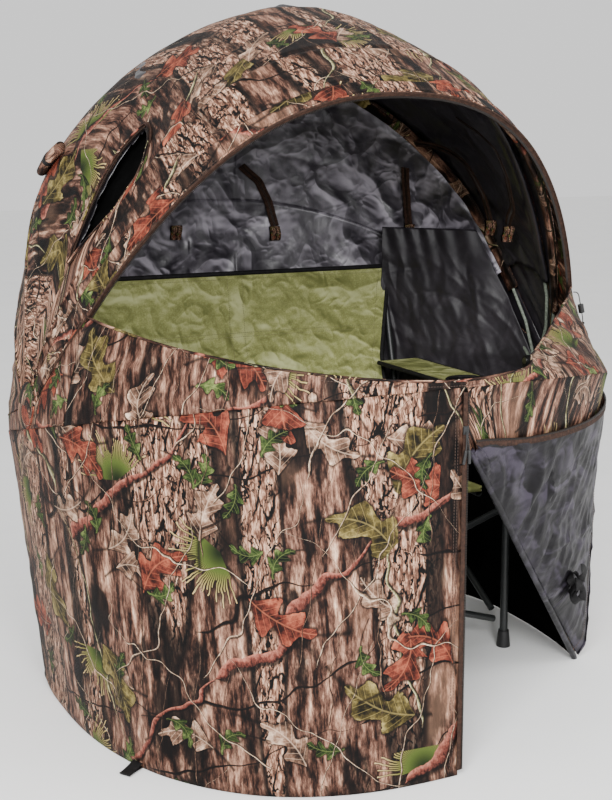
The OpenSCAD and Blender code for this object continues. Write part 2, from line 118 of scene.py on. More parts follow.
def add(tree: Tree, kind: str, *values: Any, stops: Sequence[tuple[float, str]] = (),
        **settings: Any) -> bpy.types.Node:
    """Adds a node with its settings and links.

    Args:
        tree: The node tree to add to.
        kind: The node's type without its "ShaderNode" prefix, and after a colon its main choice, as in CHOICES.
        *values: Its inputs in order, or one dictionary of them by name or number, each a value, an sRGB hex
            colour, a node or a socket.
        stops: Places from 0 to 1 along a colour ramp with their sRGB hex colours.
        **settings: The node's own properties.

    Returns:
        The new node.
    """
    kind, _, choice = kind.partition(":")
    made = tree.nodes.new("ShaderNode" + kind)
    if choice:
        setattr(made, CHOICES[kind], choice)
    for name, value in settings.items():
        setattr(made, name, value)
    inputs = values[0] if values and isinstance(values[0], dict) else dict(enumerate(values))
    for name, value in inputs.items():
        if isinstance(value, bpy.types.Node):
            value = value.outputs[0]
        if isinstance(value, bpy.types.NodeSocket):
            tree.links.new(value, made.inputs[name])
        else:
            made.inputs[name].default_value = linear(value) if isinstance(value, str) else value
    for _ in stops[2:]:
        made.color_ramp.elements.new(0.5)
    for count, (place, colour) in enumerate(stops):
        made.color_ramp.elements[count].position = place
        made.color_ramp.elements[count].color = linear(colour)
    return made


# ------------------------------------------------------------------ the woodland print


@dataclass(frozen=True)
class LeafKind:
    """One size and shape of leaf in the print; lengths in millimetres.

    Attributes:
        spacing: Distance between neighbouring leaves' places.
        length: Half of a leaf's length.
        width: Half width as a share of that.
        lobes: Number of lobes along the leaf's side.
        depth: How deep the lobes are cut.
        share: Share of the places that hold a leaf.
        colours: Dark, middle and light of the leaf, as sRGB hex.
        seed: Offset of the pattern, so that kinds don't coincide.
    """

    spacing: float
    length: float
    width: float
    lobes: float
    depth: float
    share: float
    colours: tuple[str, str, str]
    seed: float


@dataclass(frozen=True)
class BranchKind:
    """One family of branches or twigs in the print; millimetres, and degrees from upright."""

    turn: float
    spacing: float
    width: float
    wander: float
    share: float
    colours: tuple[str, str, str]
    seed: float


RUST_LEAF = LeafKind(205, 70, 0.52, 2.6, 0.42, 0.46, ("#4a2317", "#99583e", "#cf906c"), 3.1)
OLIVE_LEAF = LeafKind(235, 80, 0.50, 2.2, 0.36, 0.42, ("#3c351d", "#857a4c", "#c2b584"), 11.7)
GREEN_LEAF = LeafKind(120, 36, 0.40, 3.2, 0.45, 0.40, ("#232d18", "#5c6e3c", "#aab27c"), 23.3)
PALE_LEAF = LeafKind(190, 60, 0.46, 2.4, 0.40, 0.42, ("#4c3a30", "#a78c79", "#ead6c3"), 37.9)

RED_BOUGH = BranchKind(52, 380, 22, 0.10, 0.62, ("#4a2a24", "#945f50", "#c99683"), 5.3)
LICHEN_STEM = BranchKind(-24, 300, 9, 0.13, 0.66, ("#3b352c", "#8f8a6b", "#ddd8b8"), 17.9)
GREY_TWIG = BranchKind(31, 105, 2.8, 0.10, 0.62, ("#3a302b", "#a58f7c", "#e6d8c6"), 29.1)
PALE_TWIG = BranchKind(-58, 120, 2.3, 0.12, 0.6, ("#42352d", "#b9a48f", "#f0e3d2"), 41.3)
THIN_TWIG = BranchKind(8, 70, 1.7, 0.06, 0.55, ("#2a1c18", "#6b5045", "#c0a994"), 53.7)
DARK_TWIG = BranchKind(74, 130, 4.5, 0.10, 0.6, ("#120a08", "#2c1c17", "#4e382f"), 61.7)


@dataclass
class WoodlandPrint:
    """A generic printed woodland: blurred bark, cracked trunks, boughs, leaves, needles and twigs."""

    tree: Tree
    place: Any

    def shifted(self, seed: float, scale: tuple[float, float, float] = (1, 1, 1)) -> bpy.types.Node:
        """Returns the cloth's place, moved by the seed and scaled."""
        return add(
            self.tree, "Mapping", {"Vector": self.place, "Location": (seed, seed * 0.7, 0), "Scale": scale})

    def noise(self, seed: float, scale: tuple[float, float], detail: float = 4, rough: float = 0.55) -> Any:
        """Adds noise over the cloth.

        Args:
            seed: Offset of the pattern.
            scale: Cycles per metre across and along the cloth.
            detail: Octaves.
            rough: Weight of the finer octaves.

        Returns:
            The value socket.
        """
        vector = self.shifted(seed, (scale[0], scale[1], 1))
        return add(
            self.tree, "TexNoise:2D", {"Vector": vector, "Scale": 1.0, "Detail": detail, "Roughness": rough},
        ).outputs[0]

    def background(self) -> Any:
        """Makes the out-of-focus bark behind everything: soft streaks along the cloth with dark hollows."""
        t = self.tree
        streak = self.noise(1.3, (46, 9), 9, 0.74)
        colour = add(t, "ValToRGB", streak, stops=[
            (0.30, "#130908"), (0.40, "#46312a"), (0.47, "#765a4c"), (0.54, "#a08273"),
            (0.62, "#c9aa94"), (0.72, "#f0dac6"),
        ]).outputs[0]
        hollow = add(t, "MapRange:SMOOTHSTEP", self.noise(7.1, (9, 3.4), 6, 0.62), 0.52, 0.62, 0, 1)
        colour = add(
            t, "Mix:RGBA", {0: add(t, "Math:MULTIPLY", hollow, 0.85), 6: colour, 7: "#1c1112"}).outputs[2]
        glow = add(t, "MapRange:SMOOTHSTEP", self.noise(13.9, (5, 3), 3, 0.5), 0.55, 0.72, 0, 1)
        return add(t, "Mix:RGBA", {0: add(t, "Math:MULTIPLY", glow, 0.3), 6: colour, 7: "#d2b299"}).outputs[2]

    def trunks(self, under: Any) -> Any:
        """Lays upright trunks of pale cracked bark with deep dark furrows over the colour below."""
        t = self.tree
        band = self.noise(19.7, (6.5, 0.55), 2, 0.4)
        inside = add(t, "MapRange:SMOOTHSTEP", band, 0.525, 0.540, 0, 1)
        rim = add(
            t, "Math:MULTIPLY", add(t, "MapRange:SMOOTHSTEP", band, 0.49, 0.53, 0, 1),
            add(t, "MapRange:SMOOTHSTEP", band, 0.545, 0.575, 1, 0))
        wobble = self.noise(23.3, (20, 12), 4, 0.6)
        shift = add(t, "VectorMath:ADD", {0: self.shifted(2.9, (70, 15, 1)), 1: add(t, "CombineXYZ", {
            0: add(t, "Math:MULTIPLY", wobble, 5.0), 1: add(t, "Math:MULTIPLY", wobble, 2.6)})})
        crack = add(
            t, "TexVoronoi:2D", {"Vector": shift, "Scale": 1.0}, feature="DISTANCE_TO_EDGE").outputs[0]
        plate = self.noise(29.9, (150, 30), 5, 0.7)
        bark = add(t, "ValToRGB", plate, stops=[
            (0.30, "#5d463c"), (0.45, "#937463"), (0.56, "#c9a994"), (0.70, "#eed7c3")]).outputs[0]
        furrow = add(
            t, "MapRange:SMOOTHSTEP",
            add(t, "Math:ADD", crack, add(t, "Math:MULTIPLY", self.noise(31.1, (60, 9), 4), 0.34)), 0.19, 0.3,
            1, 0)
        bark = add(t, "Mix:RGBA", {0: furrow, 6: bark, 7: "#160c0b"}).outputs[2]
        colour = add(t, "Mix:RGBA", {0: inside, 6: under, 7: bark}).outputs[2]
        return add(t, "Mix:RGBA", {0: add(t, "Math:MULTIPLY", rim, 0.8), 6: colour, 7: "#140b0c"}).outputs[2]

    def branches(self, under: Any, kind: BranchKind) -> Any:
        """Lays one family of boughs or twigs over the colour below.

        Args:
            under: The colour socket below.
            kind: The family's sizes and colours.

        Returns:
            The new colour socket.
        """
        t = self.tree
        turned = add(
            t, "VectorRotate:Z_AXIS", {"Vector": self.shifted(kind.seed), "Angle": math.radians(kind.turn)})
        axes = add(t, "SeparateXYZ", {0: turned})
        bend = add(
            t, "TexNoise:2D", {"Vector": turned, "Scale": 3.1, "Detail": 3.0, "Roughness": 0.5}).outputs[0]
        across = add(t, "Math:MULTIPLY_ADD", bend, kind.wander * 2, axes.outputs[0])
        lane = add(t, "Math:DIVIDE", across, kind.spacing * MM)
        number = add(t, "Math:FLOOR", lane)
        off = add(t, "Math:SUBTRACT", add(t, "Math:SUBTRACT", lane, number), 0.5)
        luck = add(t, "TexWhiteNoise:1D", {"W": number})
        part = add(
            t, "Math:FLOOR",
            add(t, "Math:ADD", add(t, "Math:MULTIPLY", axes.outputs[1], 2.2), luck.outputs[0]))
        chance = add(t, "TexWhiteNoise:2D", {"Vector": add(t, "CombineXYZ", {0: number, 1: part})}).outputs[0]
        along = add(
            t, "Math:FRACT",
            add(t, "Math:ADD", add(t, "Math:MULTIPLY", axes.outputs[1], 2.2), luck.outputs[0]))
        taper = add(
            t, "Math:MULTIPLY", add(t, "Math:SUBTRACT", 1.15, along),
            add(t, "MapRange:SMOOTHSTEP", along, 0.0, 0.06, 0, 1))
        knobs = add(t, "Math:MULTIPLY_ADD", self.noise(kind.seed + 2, (30, 30), 3), 0.9, 0.55)
        half = add(t, "Math:MULTIPLY", add(t, "Math:MULTIPLY", taper, knobs), kind.width / kind.spacing / 2)
        side = add(t, "Math:DIVIDE", off, add(t, "Math:MAXIMUM", half, 0.0008))
        there = add(
            t, "Math:MULTIPLY", add(t, "MapRange:SMOOTHSTEP", add(t, "Math:ABSOLUTE", side), 0.86, 1.0, 1, 0),
            add(t, "Math:LESS_THAN", chance, kind.share))
        shade = add(
            t, "Math:MULTIPLY",
            add(
                t, "MapRange:SMOOTHSTEP", add(t, "Math:ABSOLUTE", add(t, "Math:SUBTRACT", side, 0.7)), 0.7,
                1.5, 1, 0),
            add(t, "Math:LESS_THAN", chance, kind.share))
        speck = add(
            t, "Math:MULTIPLY", add(t, "Math:SUBTRACT", self.noise(kind.seed + 5, (130, 90), 4, 0.7), 0.5),
            1.1)
        dark, middle, light = kind.colours
        tone = add(t, "Math:ADD", add(t, "Math:MULTIPLY_ADD", side, -0.30, 0.5), speck)
        skin = add(t, "ValToRGB", tone, stops=[(0.15, dark), (0.45, middle), (0.85, light)]).outputs[0]
        under = add(
            t, "Mix:RGBA", {0: add(t, "Math:MULTIPLY", shade, 0.72), 6: under, 7: "#170d0d"}).outputs[2]
        return add(t, "Mix:RGBA", {0: there, 6: under, 7: skin}).outputs[2]

    def leaves(self, under: Any, kind: LeafKind) -> Any:
        """Scatters one kind of lobed leaf, each turned its own way, over the colour below."""
        t = self.tree
        place = self.shifted(kind.seed)
        cells = add(
            t, "TexVoronoi:2D", {"Vector": place, "Scale": 1000 / kind.spacing, "Randomness": 0.85},
            feature="F1")
        luck = add(t, "SeparateColor", {0: cells.outputs["Color"]})
        local = add(t, "VectorMath:SUBTRACT", {0: place, 1: cells.outputs["Position"]})
        turned = add(
            t, "VectorRotate:Z_AXIS",
            {"Vector": local, "Angle": add(t, "Math:MULTIPLY", luck.outputs[0], 6.283)})
        scaled = add(t, "VectorMath:SCALE", {0: turned, "Scale": 1000 / kind.length})
        axes = add(t, "SeparateXYZ", {0: scaled.outputs[0]})
        y = axes.outputs[1]
        curl = add(
            t, "Math:MULTIPLY", add(t, "Math:MULTIPLY", y, y), add(t, "Math:SUBTRACT", luck.outputs[1], 0.5))
        x = add(t, "Math:ABSOLUTE", add(t, "Math:SUBTRACT", axes.outputs[0], curl))
        oval = add(
            t, "Math:POWER",
            add(t, "Math:MAXIMUM", add(t, "Math:SUBTRACT", 1.0, add(t, "Math:MULTIPLY", y, y)), 0.0), 0.7)
        wave = add(
            t, "Math:SINE",
            add(
                t, "Math:MULTIPLY", add(t, "Math:SUBTRACT", y, add(t, "Math:MULTIPLY", x, 0.5)),
                kind.lobes * math.pi))
        lobed = add(t, "Math:MULTIPLY_ADD", wave, kind.depth, 1.0 - kind.depth * 0.4)
        ragged = add(t, "Math:MULTIPLY_ADD", self.noise(kind.seed + 1, (90, 90), 3), 0.35, 0.82)
        half = add(
            t, "Math:MULTIPLY", add(t, "Math:MULTIPLY", add(t, "Math:MULTIPLY", oval, lobed), ragged),
            kind.width)
        edge = add(t, "Math:SUBTRACT", half, x)
        chosen = add(t, "Math:LESS_THAN", luck.outputs[2], kind.share)
        there = add(t, "Math:MULTIPLY", add(t, "MapRange:SMOOTHSTEP", edge, -0.005, 0.02, 0, 1), chosen)
        shade = add(t, "Math:MULTIPLY", add(t, "MapRange:SMOOTHSTEP", edge, -0.13, 0.02, 0, 1), chosen)
        rib = add(t, "MapRange:SMOOTHSTEP", x, 0.012, 0.030, 1, 0)
        side_rib = add(
            t, "MapRange:SMOOTHSTEP",
            add(
                t, "Math:ABSOLUTE",
                add(
                    t, "Math:SUBTRACT",
                    add(
                        t, "Math:FRACT",
                        add(
                            t, "Math:MULTIPLY", add(t, "Math:SUBTRACT", y, add(t, "Math:MULTIPLY", x, 0.9)),
                            4.5)),
                    0.5)),
            0.02, 0.06, 1, 0)
        dark, middle, light = kind.colours
        tone = add(
            t, "Math:MULTIPLY_ADD", x, 0.35,
            add(t, "Math:MULTIPLY_ADD", self.noise(kind.seed + 4, (26, 26), 6, 0.68), 1.7, -0.48))
        skin = add(t, "ValToRGB", tone, stops=[(0.18, dark), (0.5, middle), (0.86, light)]).outputs[0]
        skin = add(
            t, "Mix:RGBA",
            {0: add(t, "Math:MULTIPLY", add(t, "Math:MAXIMUM", rib, side_rib), 0.5), 6: skin, 7: light}).outputs[2]
        under = add(
            t, "Mix:RGBA", {0: add(t, "Math:MULTIPLY", shade, 0.75), 6: under, 7: "#1a0f0c"}).outputs[2]
        return add(t, "Mix:RGBA", {0: there, 6: under, 7: skin}).outputs[2]

    def needles(self, under: Any) -> Any:
        """Scatters fans of thin needles, green at the heart and straw at the tips."""
        t = self.tree
        place = self.shifted(71.3)
        cells = add(t, "TexVoronoi:2D", {"Vector": place, "Scale": 3.4, "Randomness": 0.9}, feature="F1")
        luck = add(t, "SeparateColor", {0: cells.outputs["Color"]})
        local = add(t, "VectorMath:SUBTRACT", {0: place, 1: cells.outputs["Position"]})
        turned = add(
            t, "VectorRotate:Z_AXIS",
            {"Vector": local, "Angle": add(t, "Math:MULTIPLY", luck.outputs[0], 6.283)})
        axes = add(t, "SeparateXYZ", {0: turned})
        angle = add(t, "Math:ARCTAN2", axes.outputs[1], axes.outputs[0])
        radius = add(t, "VectorMath:LENGTH", {0: turned}).outputs["Value"]
        wiggle = add(t, "Math:MULTIPLY", self.noise(73.9, (24, 24), 2), 2.6)
        lane = add(t, "Math:ADD", add(t, "Math:MULTIPLY", angle, 15.0), wiggle)
        luck_2 = add(t, "TexWhiteNoise:1D", {"W": add(t, "Math:FLOOR", lane)}).outputs[0]
        off = add(t, "Math:ABSOLUTE", add(t, "Math:SUBTRACT", add(t, "Math:FRACT", lane), 0.5))
        thin = add(t, "Math:DIVIDE", 0.0012 * 15, add(t, "Math:MAXIMUM", radius, 0.004))
        line = add(t, "Math:LESS_THAN", off, thin)
        reach = add(t, "Math:LESS_THAN", radius, add(t, "Math:MULTIPLY_ADD", luck_2, 0.06, 0.05))
        fan = add(t, "Math:LESS_THAN", add(t, "Math:ABSOLUTE", angle), 1.3)
        chosen = add(t, "Math:LESS_THAN", luck.outputs[2], 0.62)
        area = add(t, "Math:MULTIPLY", add(t, "Math:MULTIPLY", reach, fan), chosen)
        skin = add(t, "ValToRGB", add(t, "Math:MULTIPLY", radius, 9.0), stops=[
            (0.05, "#3b4a24"), (0.35, "#7d8a4a"), (0.65, "#b3a778"), (1.0, "#d8c49f")]).outputs[0]
        under = add(
            t, "Mix:RGBA", {0: add(t, "Math:MULTIPLY", area, 0.45), 6: under, 7: "#201612"}).outputs[2]
        return add(t, "Mix:RGBA", {0: add(t, "Math:MULTIPLY", line, area), 6: under, 7: skin}).outputs[2]

    def colour(self) -> Any:
        """Builds the whole print from the back to the front and returns its colour socket."""
        layer = self.trunks(self.background())
        layer = self.branches(layer, DARK_TWIG)
        layer = self.needles(layer)
        layer = self.branches(layer, RED_BOUGH)
        layer = self.leaves(layer, PALE_LEAF)
        layer = self.branches(layer, LICHEN_STEM)
        layer = self.leaves(layer, OLIVE_LEAF)
        layer = self.leaves(layer, RUST_LEAF)
        layer = self.leaves(layer, GREEN_LEAF)
        for kind in (THIN_TWIG, GREY_TWIG, PALE_TWIG):
            layer = self.branches(layer, kind)
        deep = add(self.tree, "Gamma", {0: layer, 1: 1.75})
        return add(self.tree, "HueSaturation", {"Saturation": 0.92, "Value": 1.0, "Color": deep}).outputs[0]


# ------------------------------------------------------------------ finishes


@dataclass(frozen=True)
class Finish:
    """What a surface is made of and how it looks.

    Attributes:
        name: The material's plain name.
        colours: Dark, middle and light sRGB hex of its colour variation.
        roughness: How matt it is.
        metallic: 1 for bare metal.
        grain: Cycles per metre of its colour variation.
        thread: Spacing of its threads in millimetres, or 0 where it isn't woven.
        crumple: Depth of its creases in millimetres.
        crumple_scale: Creases per metre.
        sheen: Strength of its cloth sheen.
        on_uv: True to lay the pattern on the piece's own cloth places.
        shine: Strength of its mirror-like highlight.
        painted_crease_light: Strength of the painted highlight on one side of each crease and the painted shade on
            the other, 0 to 1.
    """

    name: str
    colours: tuple[str, str, str]
    roughness: float
    metallic: float = 0.0
    grain: float = 40.0
    thread: float = 0.0
    crumple: float = 0.0
    crumple_scale: float = 9.0
    sheen: float = 0.0
    on_uv: bool = False
    shine: float = 0.5
    painted_crease_light: float = 0.0

    def build(self) -> bpy.types.Material:
        """Makes the material once and returns it."""
        known = bpy.data.materials.get(self.name)
        if known:
            return known
        made = bpy.data.materials.new(self.name)
        made.use_nodes = True
        t = made.node_tree
        t.nodes.clear()
        place = add(t, "TexCoord").outputs["UV" if self.on_uv else "Object"]
        shade = add(t, "BsdfPrincipled", {
            "Roughness": self.roughness, "Metallic": self.metallic, "Sheen Weight": self.sheen,
            "Specular IOR Level": self.shine,
            "Base Color": self.tone(t, place)})
        bump = self.relief(t, place)
        if bump is not None:
            t.links.new(bump.outputs[0], shade.inputs["Normal"])
        add(t, "OutputMaterial", {0: shade.outputs[0]})
        return made

    def tone(self, t: Tree, place: Any) -> Any:
        """Returns the colour socket: a slow drift between the three colours with a fine grain on it, and, where
        set, a painted highlight on one side of each crease and painted shade on the other.
        """
        drift = add(
            t, "TexNoise", {"Vector": place, "Scale": self.grain, "Detail": 6.0, "Roughness": 0.62}).outputs[0]
        dark, middle, light = self.colours
        if not self.painted_crease_light:
            return add(t, "ValToRGB", drift, stops=[(0.25, dark), (0.5, middle), (0.78, light)]).outputs[0]
        colour = add(t, "ValToRGB", drift, stops=[(0.0, dark), (0.5, middle), (1.0, light)]).outputs[0]
        # Painted light: the crease height here minus a few millimetres along gives a slope, so one side of each
        # crease is painted lighter and the other painted darker, as if lit from one side.
        slope = add(
            t, "Math:SUBTRACT", self.folds(t, place, (0.0, 0.0, 0.0)),
            self.folds(t, place, (0.002, 0.001, 0.005)))
        slope = add(t, "Math:MULTIPLY", slope, 75.0 * self.painted_crease_light)
        colour = add(
            t, "Mix:RGBA",
            {0: add(t, "Math:MINIMUM", add(t, "Math:MAXIMUM", slope, 0.0), 0.9), 6: colour, 7: light}).outputs[2]
        painted_crease_shade = add(
            t, "Math:MINIMUM", add(t, "Math:MAXIMUM", add(t, "Math:MULTIPLY", slope, -1.0), 0.0), 0.9)
        return add(t, "Mix:RGBA", {0: painted_crease_shade, 6: colour, 7: dark}).outputs[2]

    def folds(self, t: Tree, place: Any, shift: tuple[float, float, float]) -> bpy.types.Node:
        """Returns the height of the creases pressed into the cloth, a little to one side of the place; only the
        painted crease highlight and painted shade in the colour use it.
        """
        moved = add(t, "VectorMath:ADD", {0: place, 1: shift})
        wide = add(
            t, "TexNoise",
            {"Vector": moved, "Scale": 6.0, "Detail": 1.5, "Roughness": 0.4, "Distortion": 0.7})
        small = add(
            t, "TexNoise",
            {"Vector": moved, "Scale": 15.0, "Detail": 2.0, "Roughness": 0.5, "Distortion": 0.4})
        low = add(t, "Math:ABSOLUTE", add(t, "Math:SUBTRACT", wide.outputs[0], 0.5))
        fine = add(t, "Math:ABSOLUTE", add(t, "Math:SUBTRACT", small.outputs[0], 0.5))
        return add(t, "Math:MULTIPLY_ADD", fine, 0.35, low)

    def relief(self, t: Tree, place: Any) -> Optional[bpy.types.Node]:
        """Returns the last bump node of the creases and the weave, or None."""
        bump = None
        if self.crumple:
            soft = add(
                t, "TexNoise",
                {
                    "Vector": place, "Scale": self.crumple_scale, "Detail": 5.0, "Roughness": 0.45,
                    "Distortion": 1.2}).outputs[0]
            sharp = add(t, "TexNoise", {"Vector": place, "Scale": self.crumple_scale * 1.7, "Detail": 4.0},
                        noise_type="RIDGED_MULTIFRACTAL").outputs[0]
            height = add(t, "Math:MULTIPLY_ADD", sharp, 0.30, soft)
            bump = add(t, "Bump", {"Height": height, "Strength": 0.9, "Distance": self.crumple * MM})
        if self.thread:
            turns = math.tau / (self.thread * MM)
            axes = add(t, "SeparateXYZ", {0: place})
            warp = add(t, "Math:SINE", add(t, "Math:MULTIPLY", axes.outputs[0], turns))
            weft = add(t, "Math:SINE", add(t, "Math:MULTIPLY", axes.outputs[1 if self.on_uv else 2], turns))
            weave = add(t, "Bump", {"Height": add(t, "Math:MULTIPLY", warp, weft), "Strength": 0.35,
                                    "Distance": self.thread * 0.25 * MM})
            if bump is not None:
                t.links.new(bump.outputs[0], weave.inputs["Normal"])
            bump = weave
        return bump


@dataclass(frozen=True)
class PrintedCloth(Finish):
    """Polyester printed with the woodland, a little satin from its coating."""

    def tone(self, t: Tree, place: Any) -> Any:
        """Returns the print's colour with the faint ribs that the cloth's tension puts in it."""
        return WoodlandPrint(t, place).colour()


# Printed polyester oxford: threads of 0.5 mm are drawn at 1.2 mm so that they show; a soft satin from its
# coating.
CAMO = PrintedCloth("printed polyester", ("#543d34", "#7f6255", "#b89782"), 0.62, thread=1.2, crumple=3.0,
                    crumple_scale=7.0, on_uv=True, shine=0.14)
# Polyurethane-coated nylon taffeta: dark, slippery, with sharp creases that catch the light.
LINING = Finish("black coated nylon", ("#1b191c", "#242125", "#302c31"), 0.34, grain=14, crumple=14.0,
                crumple_scale=6.0, shine=0.42)
# The same cloth painted near black as painted shade, for the faces in the deep shade below the waist and behind the
# side window.
SHADE_PAINTED_LINING = Finish("black nylon painted in shade", ("#030303", "#050505", "#080808"), 0.8, crumple=4.0, shine=0.03)
# The coated side of the door's lining, seen in full light, with a painted highlight on one side of each crease and
# painted shade on the other.
DOOR_LINING = Finish("grey coated nylon", ("#080609", "#110f13", "#3a3540"), 0.42, grain=9, crumple=16.0,
                     crumple_scale=6.0, shine=0.17, painted_crease_light=0.34)
# The coated side of the rear lining, creased by its storage bag: the same cloth as the black lining, painted
# lighter as painted light from the opening, with a painted highlight on one side of each crease and painted shade
# on the other.
LIT_PAINTED_LINING = Finish("coated nylon painted lit", ("#232026", "#4c484f", "#aca6b0"), 0.40, grain=9, crumple=14.0,
                     crumple_scale=6.0, shine=0.55, painted_crease_light=0.34)
# The hanging walls' smoother lining, which keeps only soft folds, with a faint painted highlight and painted shade
# on the sides of its creases.
CURTAIN_LINING = Finish("soft coated nylon", ("#1b191c", "#232024", "#322e33"), 0.50, grain=12, crumple=6.0,
                        crumple_scale=6.0, shine=0.30, painted_crease_light=0.15)
# Heavy polyester canvas, dyed olive: threads of 0.7 mm drawn at 1.4 mm, with a painted highlight on one side of
# each crease and painted shade on the other.
CANVAS = Finish("olive canvas", ("#5c5f33", "#888b55", "#b9bb88"), 0.78, grain=260, thread=1.4, crumple=16.0,
                crumple_scale=8.0, shine=0.12, painted_crease_light=0.30)
BINDING = Finish(
    "black binding tape", ("#0d0c0d", "#161516", "#242224"), 0.7, thread=1.6, grain=90, shine=0.15)
WEBBING = Finish("black webbing", ("#080808", "#121112", "#1f1e1f"), 0.62, thread=2.0, grain=120, shine=0.2)
ZIP_TAPE = Finish(
    "brown zip tape", ("#1b120e", "#31211a", "#493329"), 0.75, thread=1.2, grain=140, shine=0.15)
# Acetal zip teeth: small, smooth, dark brown.
TEETH = Finish("acetal zip teeth", ("#0d0907", "#18110d", "#2a1e18"), 0.4, grain=200)
TUBE = Finish("powder-coated steel", ("#141515", "#1d1f1f", "#2b2d2d"), 0.45, grain=260)
ROD = Finish("glass fibre rod", ("#4a5048", "#6c7368", "#8c9388"), 0.38, grain=160)
STEEL = Finish("zinc-plated steel", ("#8d8d8c", "#b4b3b0", "#d2d0cc"), 0.28, metallic=1.0, grain=180)
ALUMINIUM = Finish("pressed aluminium", ("#8f9092", "#b0b1b3", "#c9cacc"), 0.35, metallic=1.0, grain=150)
PLASTIC = Finish("moulded nylon", ("#0b0b0c", "#141415", "#212122"), 0.48, grain=220)
MESH_CLOTH = Finish("black mesh", ("#060606", "#101011", "#1c1c1d"), 0.7, thread=3.0, grain=90, shine=0.1)
THREAD = Finish("olive thread", ("#4f4c31", "#67643f", "#7d7a55"), 0.7, grain=300)
DARK_THREAD = Finish("brown thread", ("#241914", "#3b2a22", "#574236"), 0.7, grain=300)
ELASTIC = Finish("black elastic", ("#0a0a0a", "#151515", "#242424"), 0.66, thread=1.2, grain=200)


# ------------------------------------------------------------------ the shell's surface


def sgn_pow(value: Array, power: float) -> Array:
    """Raises the size of a value to a power and keeps its sign."""
    return np.sign(value) * np.abs(value) ** power


@dataclass(frozen=True)
class Shell:
    """The blind's outer surface, the same rule as the frame's own cloths, in metres."""

    half_w: float = 0.672
    front: float = 0.690
    rear: float = 0.570
    top: float = 1.530
    spring: float = 0.650
    power: float = 2.2
    mid_y: float = 0.060
    hub_y: float = 0.0
    hub_z: float = 0.680
    hub_gap: float = 0.044
    margin: float = 0.997
    hem_half_w: float = 0.605
    hem_front: float = 0.691
    hem_rear: float = 0.416
    hem_power: float = 2.5
    waist_front_z: float = 0.770
    waist_slope: float = 0.22

    def rise(self, z: Array) -> Array:
        """Returns how far up the tapering part a height is, from 0 to 1."""
        return np.clip((z - self.spring) / (self.top - self.spring), 0, 1)

    def wide(self, z: Array) -> Array:
        """Returns the half width at a height."""
        return self.half_w * (1 - self.rise(z) ** 1.4) ** 0.526

    def swell(self, y: Array, z: Array) -> Array:
        """Returns how much the hood's shoulders swell behind the pivots."""
        return 1 + 0.20 * smooth_step(y, -0.120, 0.250) * smooth_step(z, 0.700, 1.350)

    def reach(self, y: Array, z: Array) -> Array:
        """Returns the reach from the middle line to the front or the rear at a height."""
        ahead = self.front * (1 - self.rise(z) ** 4)
        tuck = 1 - 0.10 * np.clip((0.850 - z) / 0.350, 0, 1) ** 2
        behind = self.rear * (1 - self.rise(z) ** 5) ** 0.4545 * tuck
        return np.where(y < self.mid_y, ahead, behind)

    def skin_x(self, y: Array, z: Array) -> Array:
        """Returns the surface's x on the sitter's left."""
        share = np.clip(np.abs(y - self.mid_y) / np.maximum(0.001, self.reach(y, z)), 0, 1)
        return self.swell(y, z) * self.wide(z) * (1 - share**self.power) ** (1 / self.power)

    def around(self, angle: Array, z: Array) -> Array:
        """Returns the surface's points at angles in degrees round the shell, -90 being the front."""
        c, s = np.cos(np.radians(angle)), np.sin(np.radians(angle))
        side = np.where(s < 0, -1.0, 1.0)
        depth = self.reach(self.mid_y + side * 0.01, z)
        y = self.mid_y + depth * sgn_pow(s, 2 / self.power)
        return np.stack([self.wide(z) * sgn_pow(c, 2 / self.power), y, z + 0 * angle], -1)

    def waist_z(self, y: Array) -> Array:
        """Returns the waist seam's height at a place from front to rear."""
        return self.waist_front_z - self.waist_slope * (y + 0.630)

    def waist(self, angle: Array) -> Array:
        """Returns the waist seam's points."""
        z = np.full(np.shape(angle), 0.690)
        for _ in range(8):
            z = self.waist_z(self.around(angle, z)[..., 1])
        return self.around(angle, z)

    def hem(self, angle: Array) -> Array:
        """Returns the hem's points on the ground."""
        c, s = np.cos(np.radians(angle)), np.sin(np.radians(angle))
        depth = np.where(s < 0, self.hem_front, self.hem_rear)
        y = self.mid_y + depth * sgn_pow(s, 2 / self.hem_power)
        return np.stack([self.hem_half_w * sgn_pow(c, 2 / self.hem_power), y, 0 * angle], -1)

    def wall(self, angle: Array, share: Array) -> Array:
        """Returns points on the skirt, from the hem at 0 to the waist seam at 1."""
        low, high = self.hem(angle), self.waist(angle)
        return low + (high - low) * share[..., None]

    def ridge(self, lean: Array) -> Array:
        """Returns the distance from the pivot to the shell's middle line at leans in degrees."""
        s, c = np.sin(np.radians(lean)), np.cos(np.radians(lean))
        low, high = np.full(np.shape(lean), 0.3), np.full(np.shape(lean), 0.9)
        for _ in range(22):
            r = (low + high) / 2
            y, z = self.hub_y + r * s, self.hub_z + r * c
            within = (np.abs(y - self.mid_y) < self.reach(y, z)) & (z < self.top)
            low, high = np.where(within, r, low), np.where(within, high, r)
        return low

    def arch(self, lean: Array, s: Array) -> Array:
        """Returns points on the hood at leans and places s, from -1 on the right over 0 to 1 on the left."""
        r = self.hub_gap + (self.ridge(lean) * self.margin - self.hub_gap) * np.sin(np.pi / 2 * (1 - np.abs(s)))
        y = self.hub_y + r * np.sin(np.radians(lean))
        z = self.hub_z + r * np.cos(np.radians(lean))
        x = np.where(np.abs(s) < 1e-9, 0.0, np.sign(s) * self.skin_x(y, z))
        return np.stack([x, y, z], -1)


SHELL = Shell()
LEANS = {
    Body.ROOT: 107.0, Body.REAR_BOW: 58.0, Body.TOP_BOW: 30.0, Body.SECOND_BOW: -18.0, Body.RIM_BOW: -29.0}


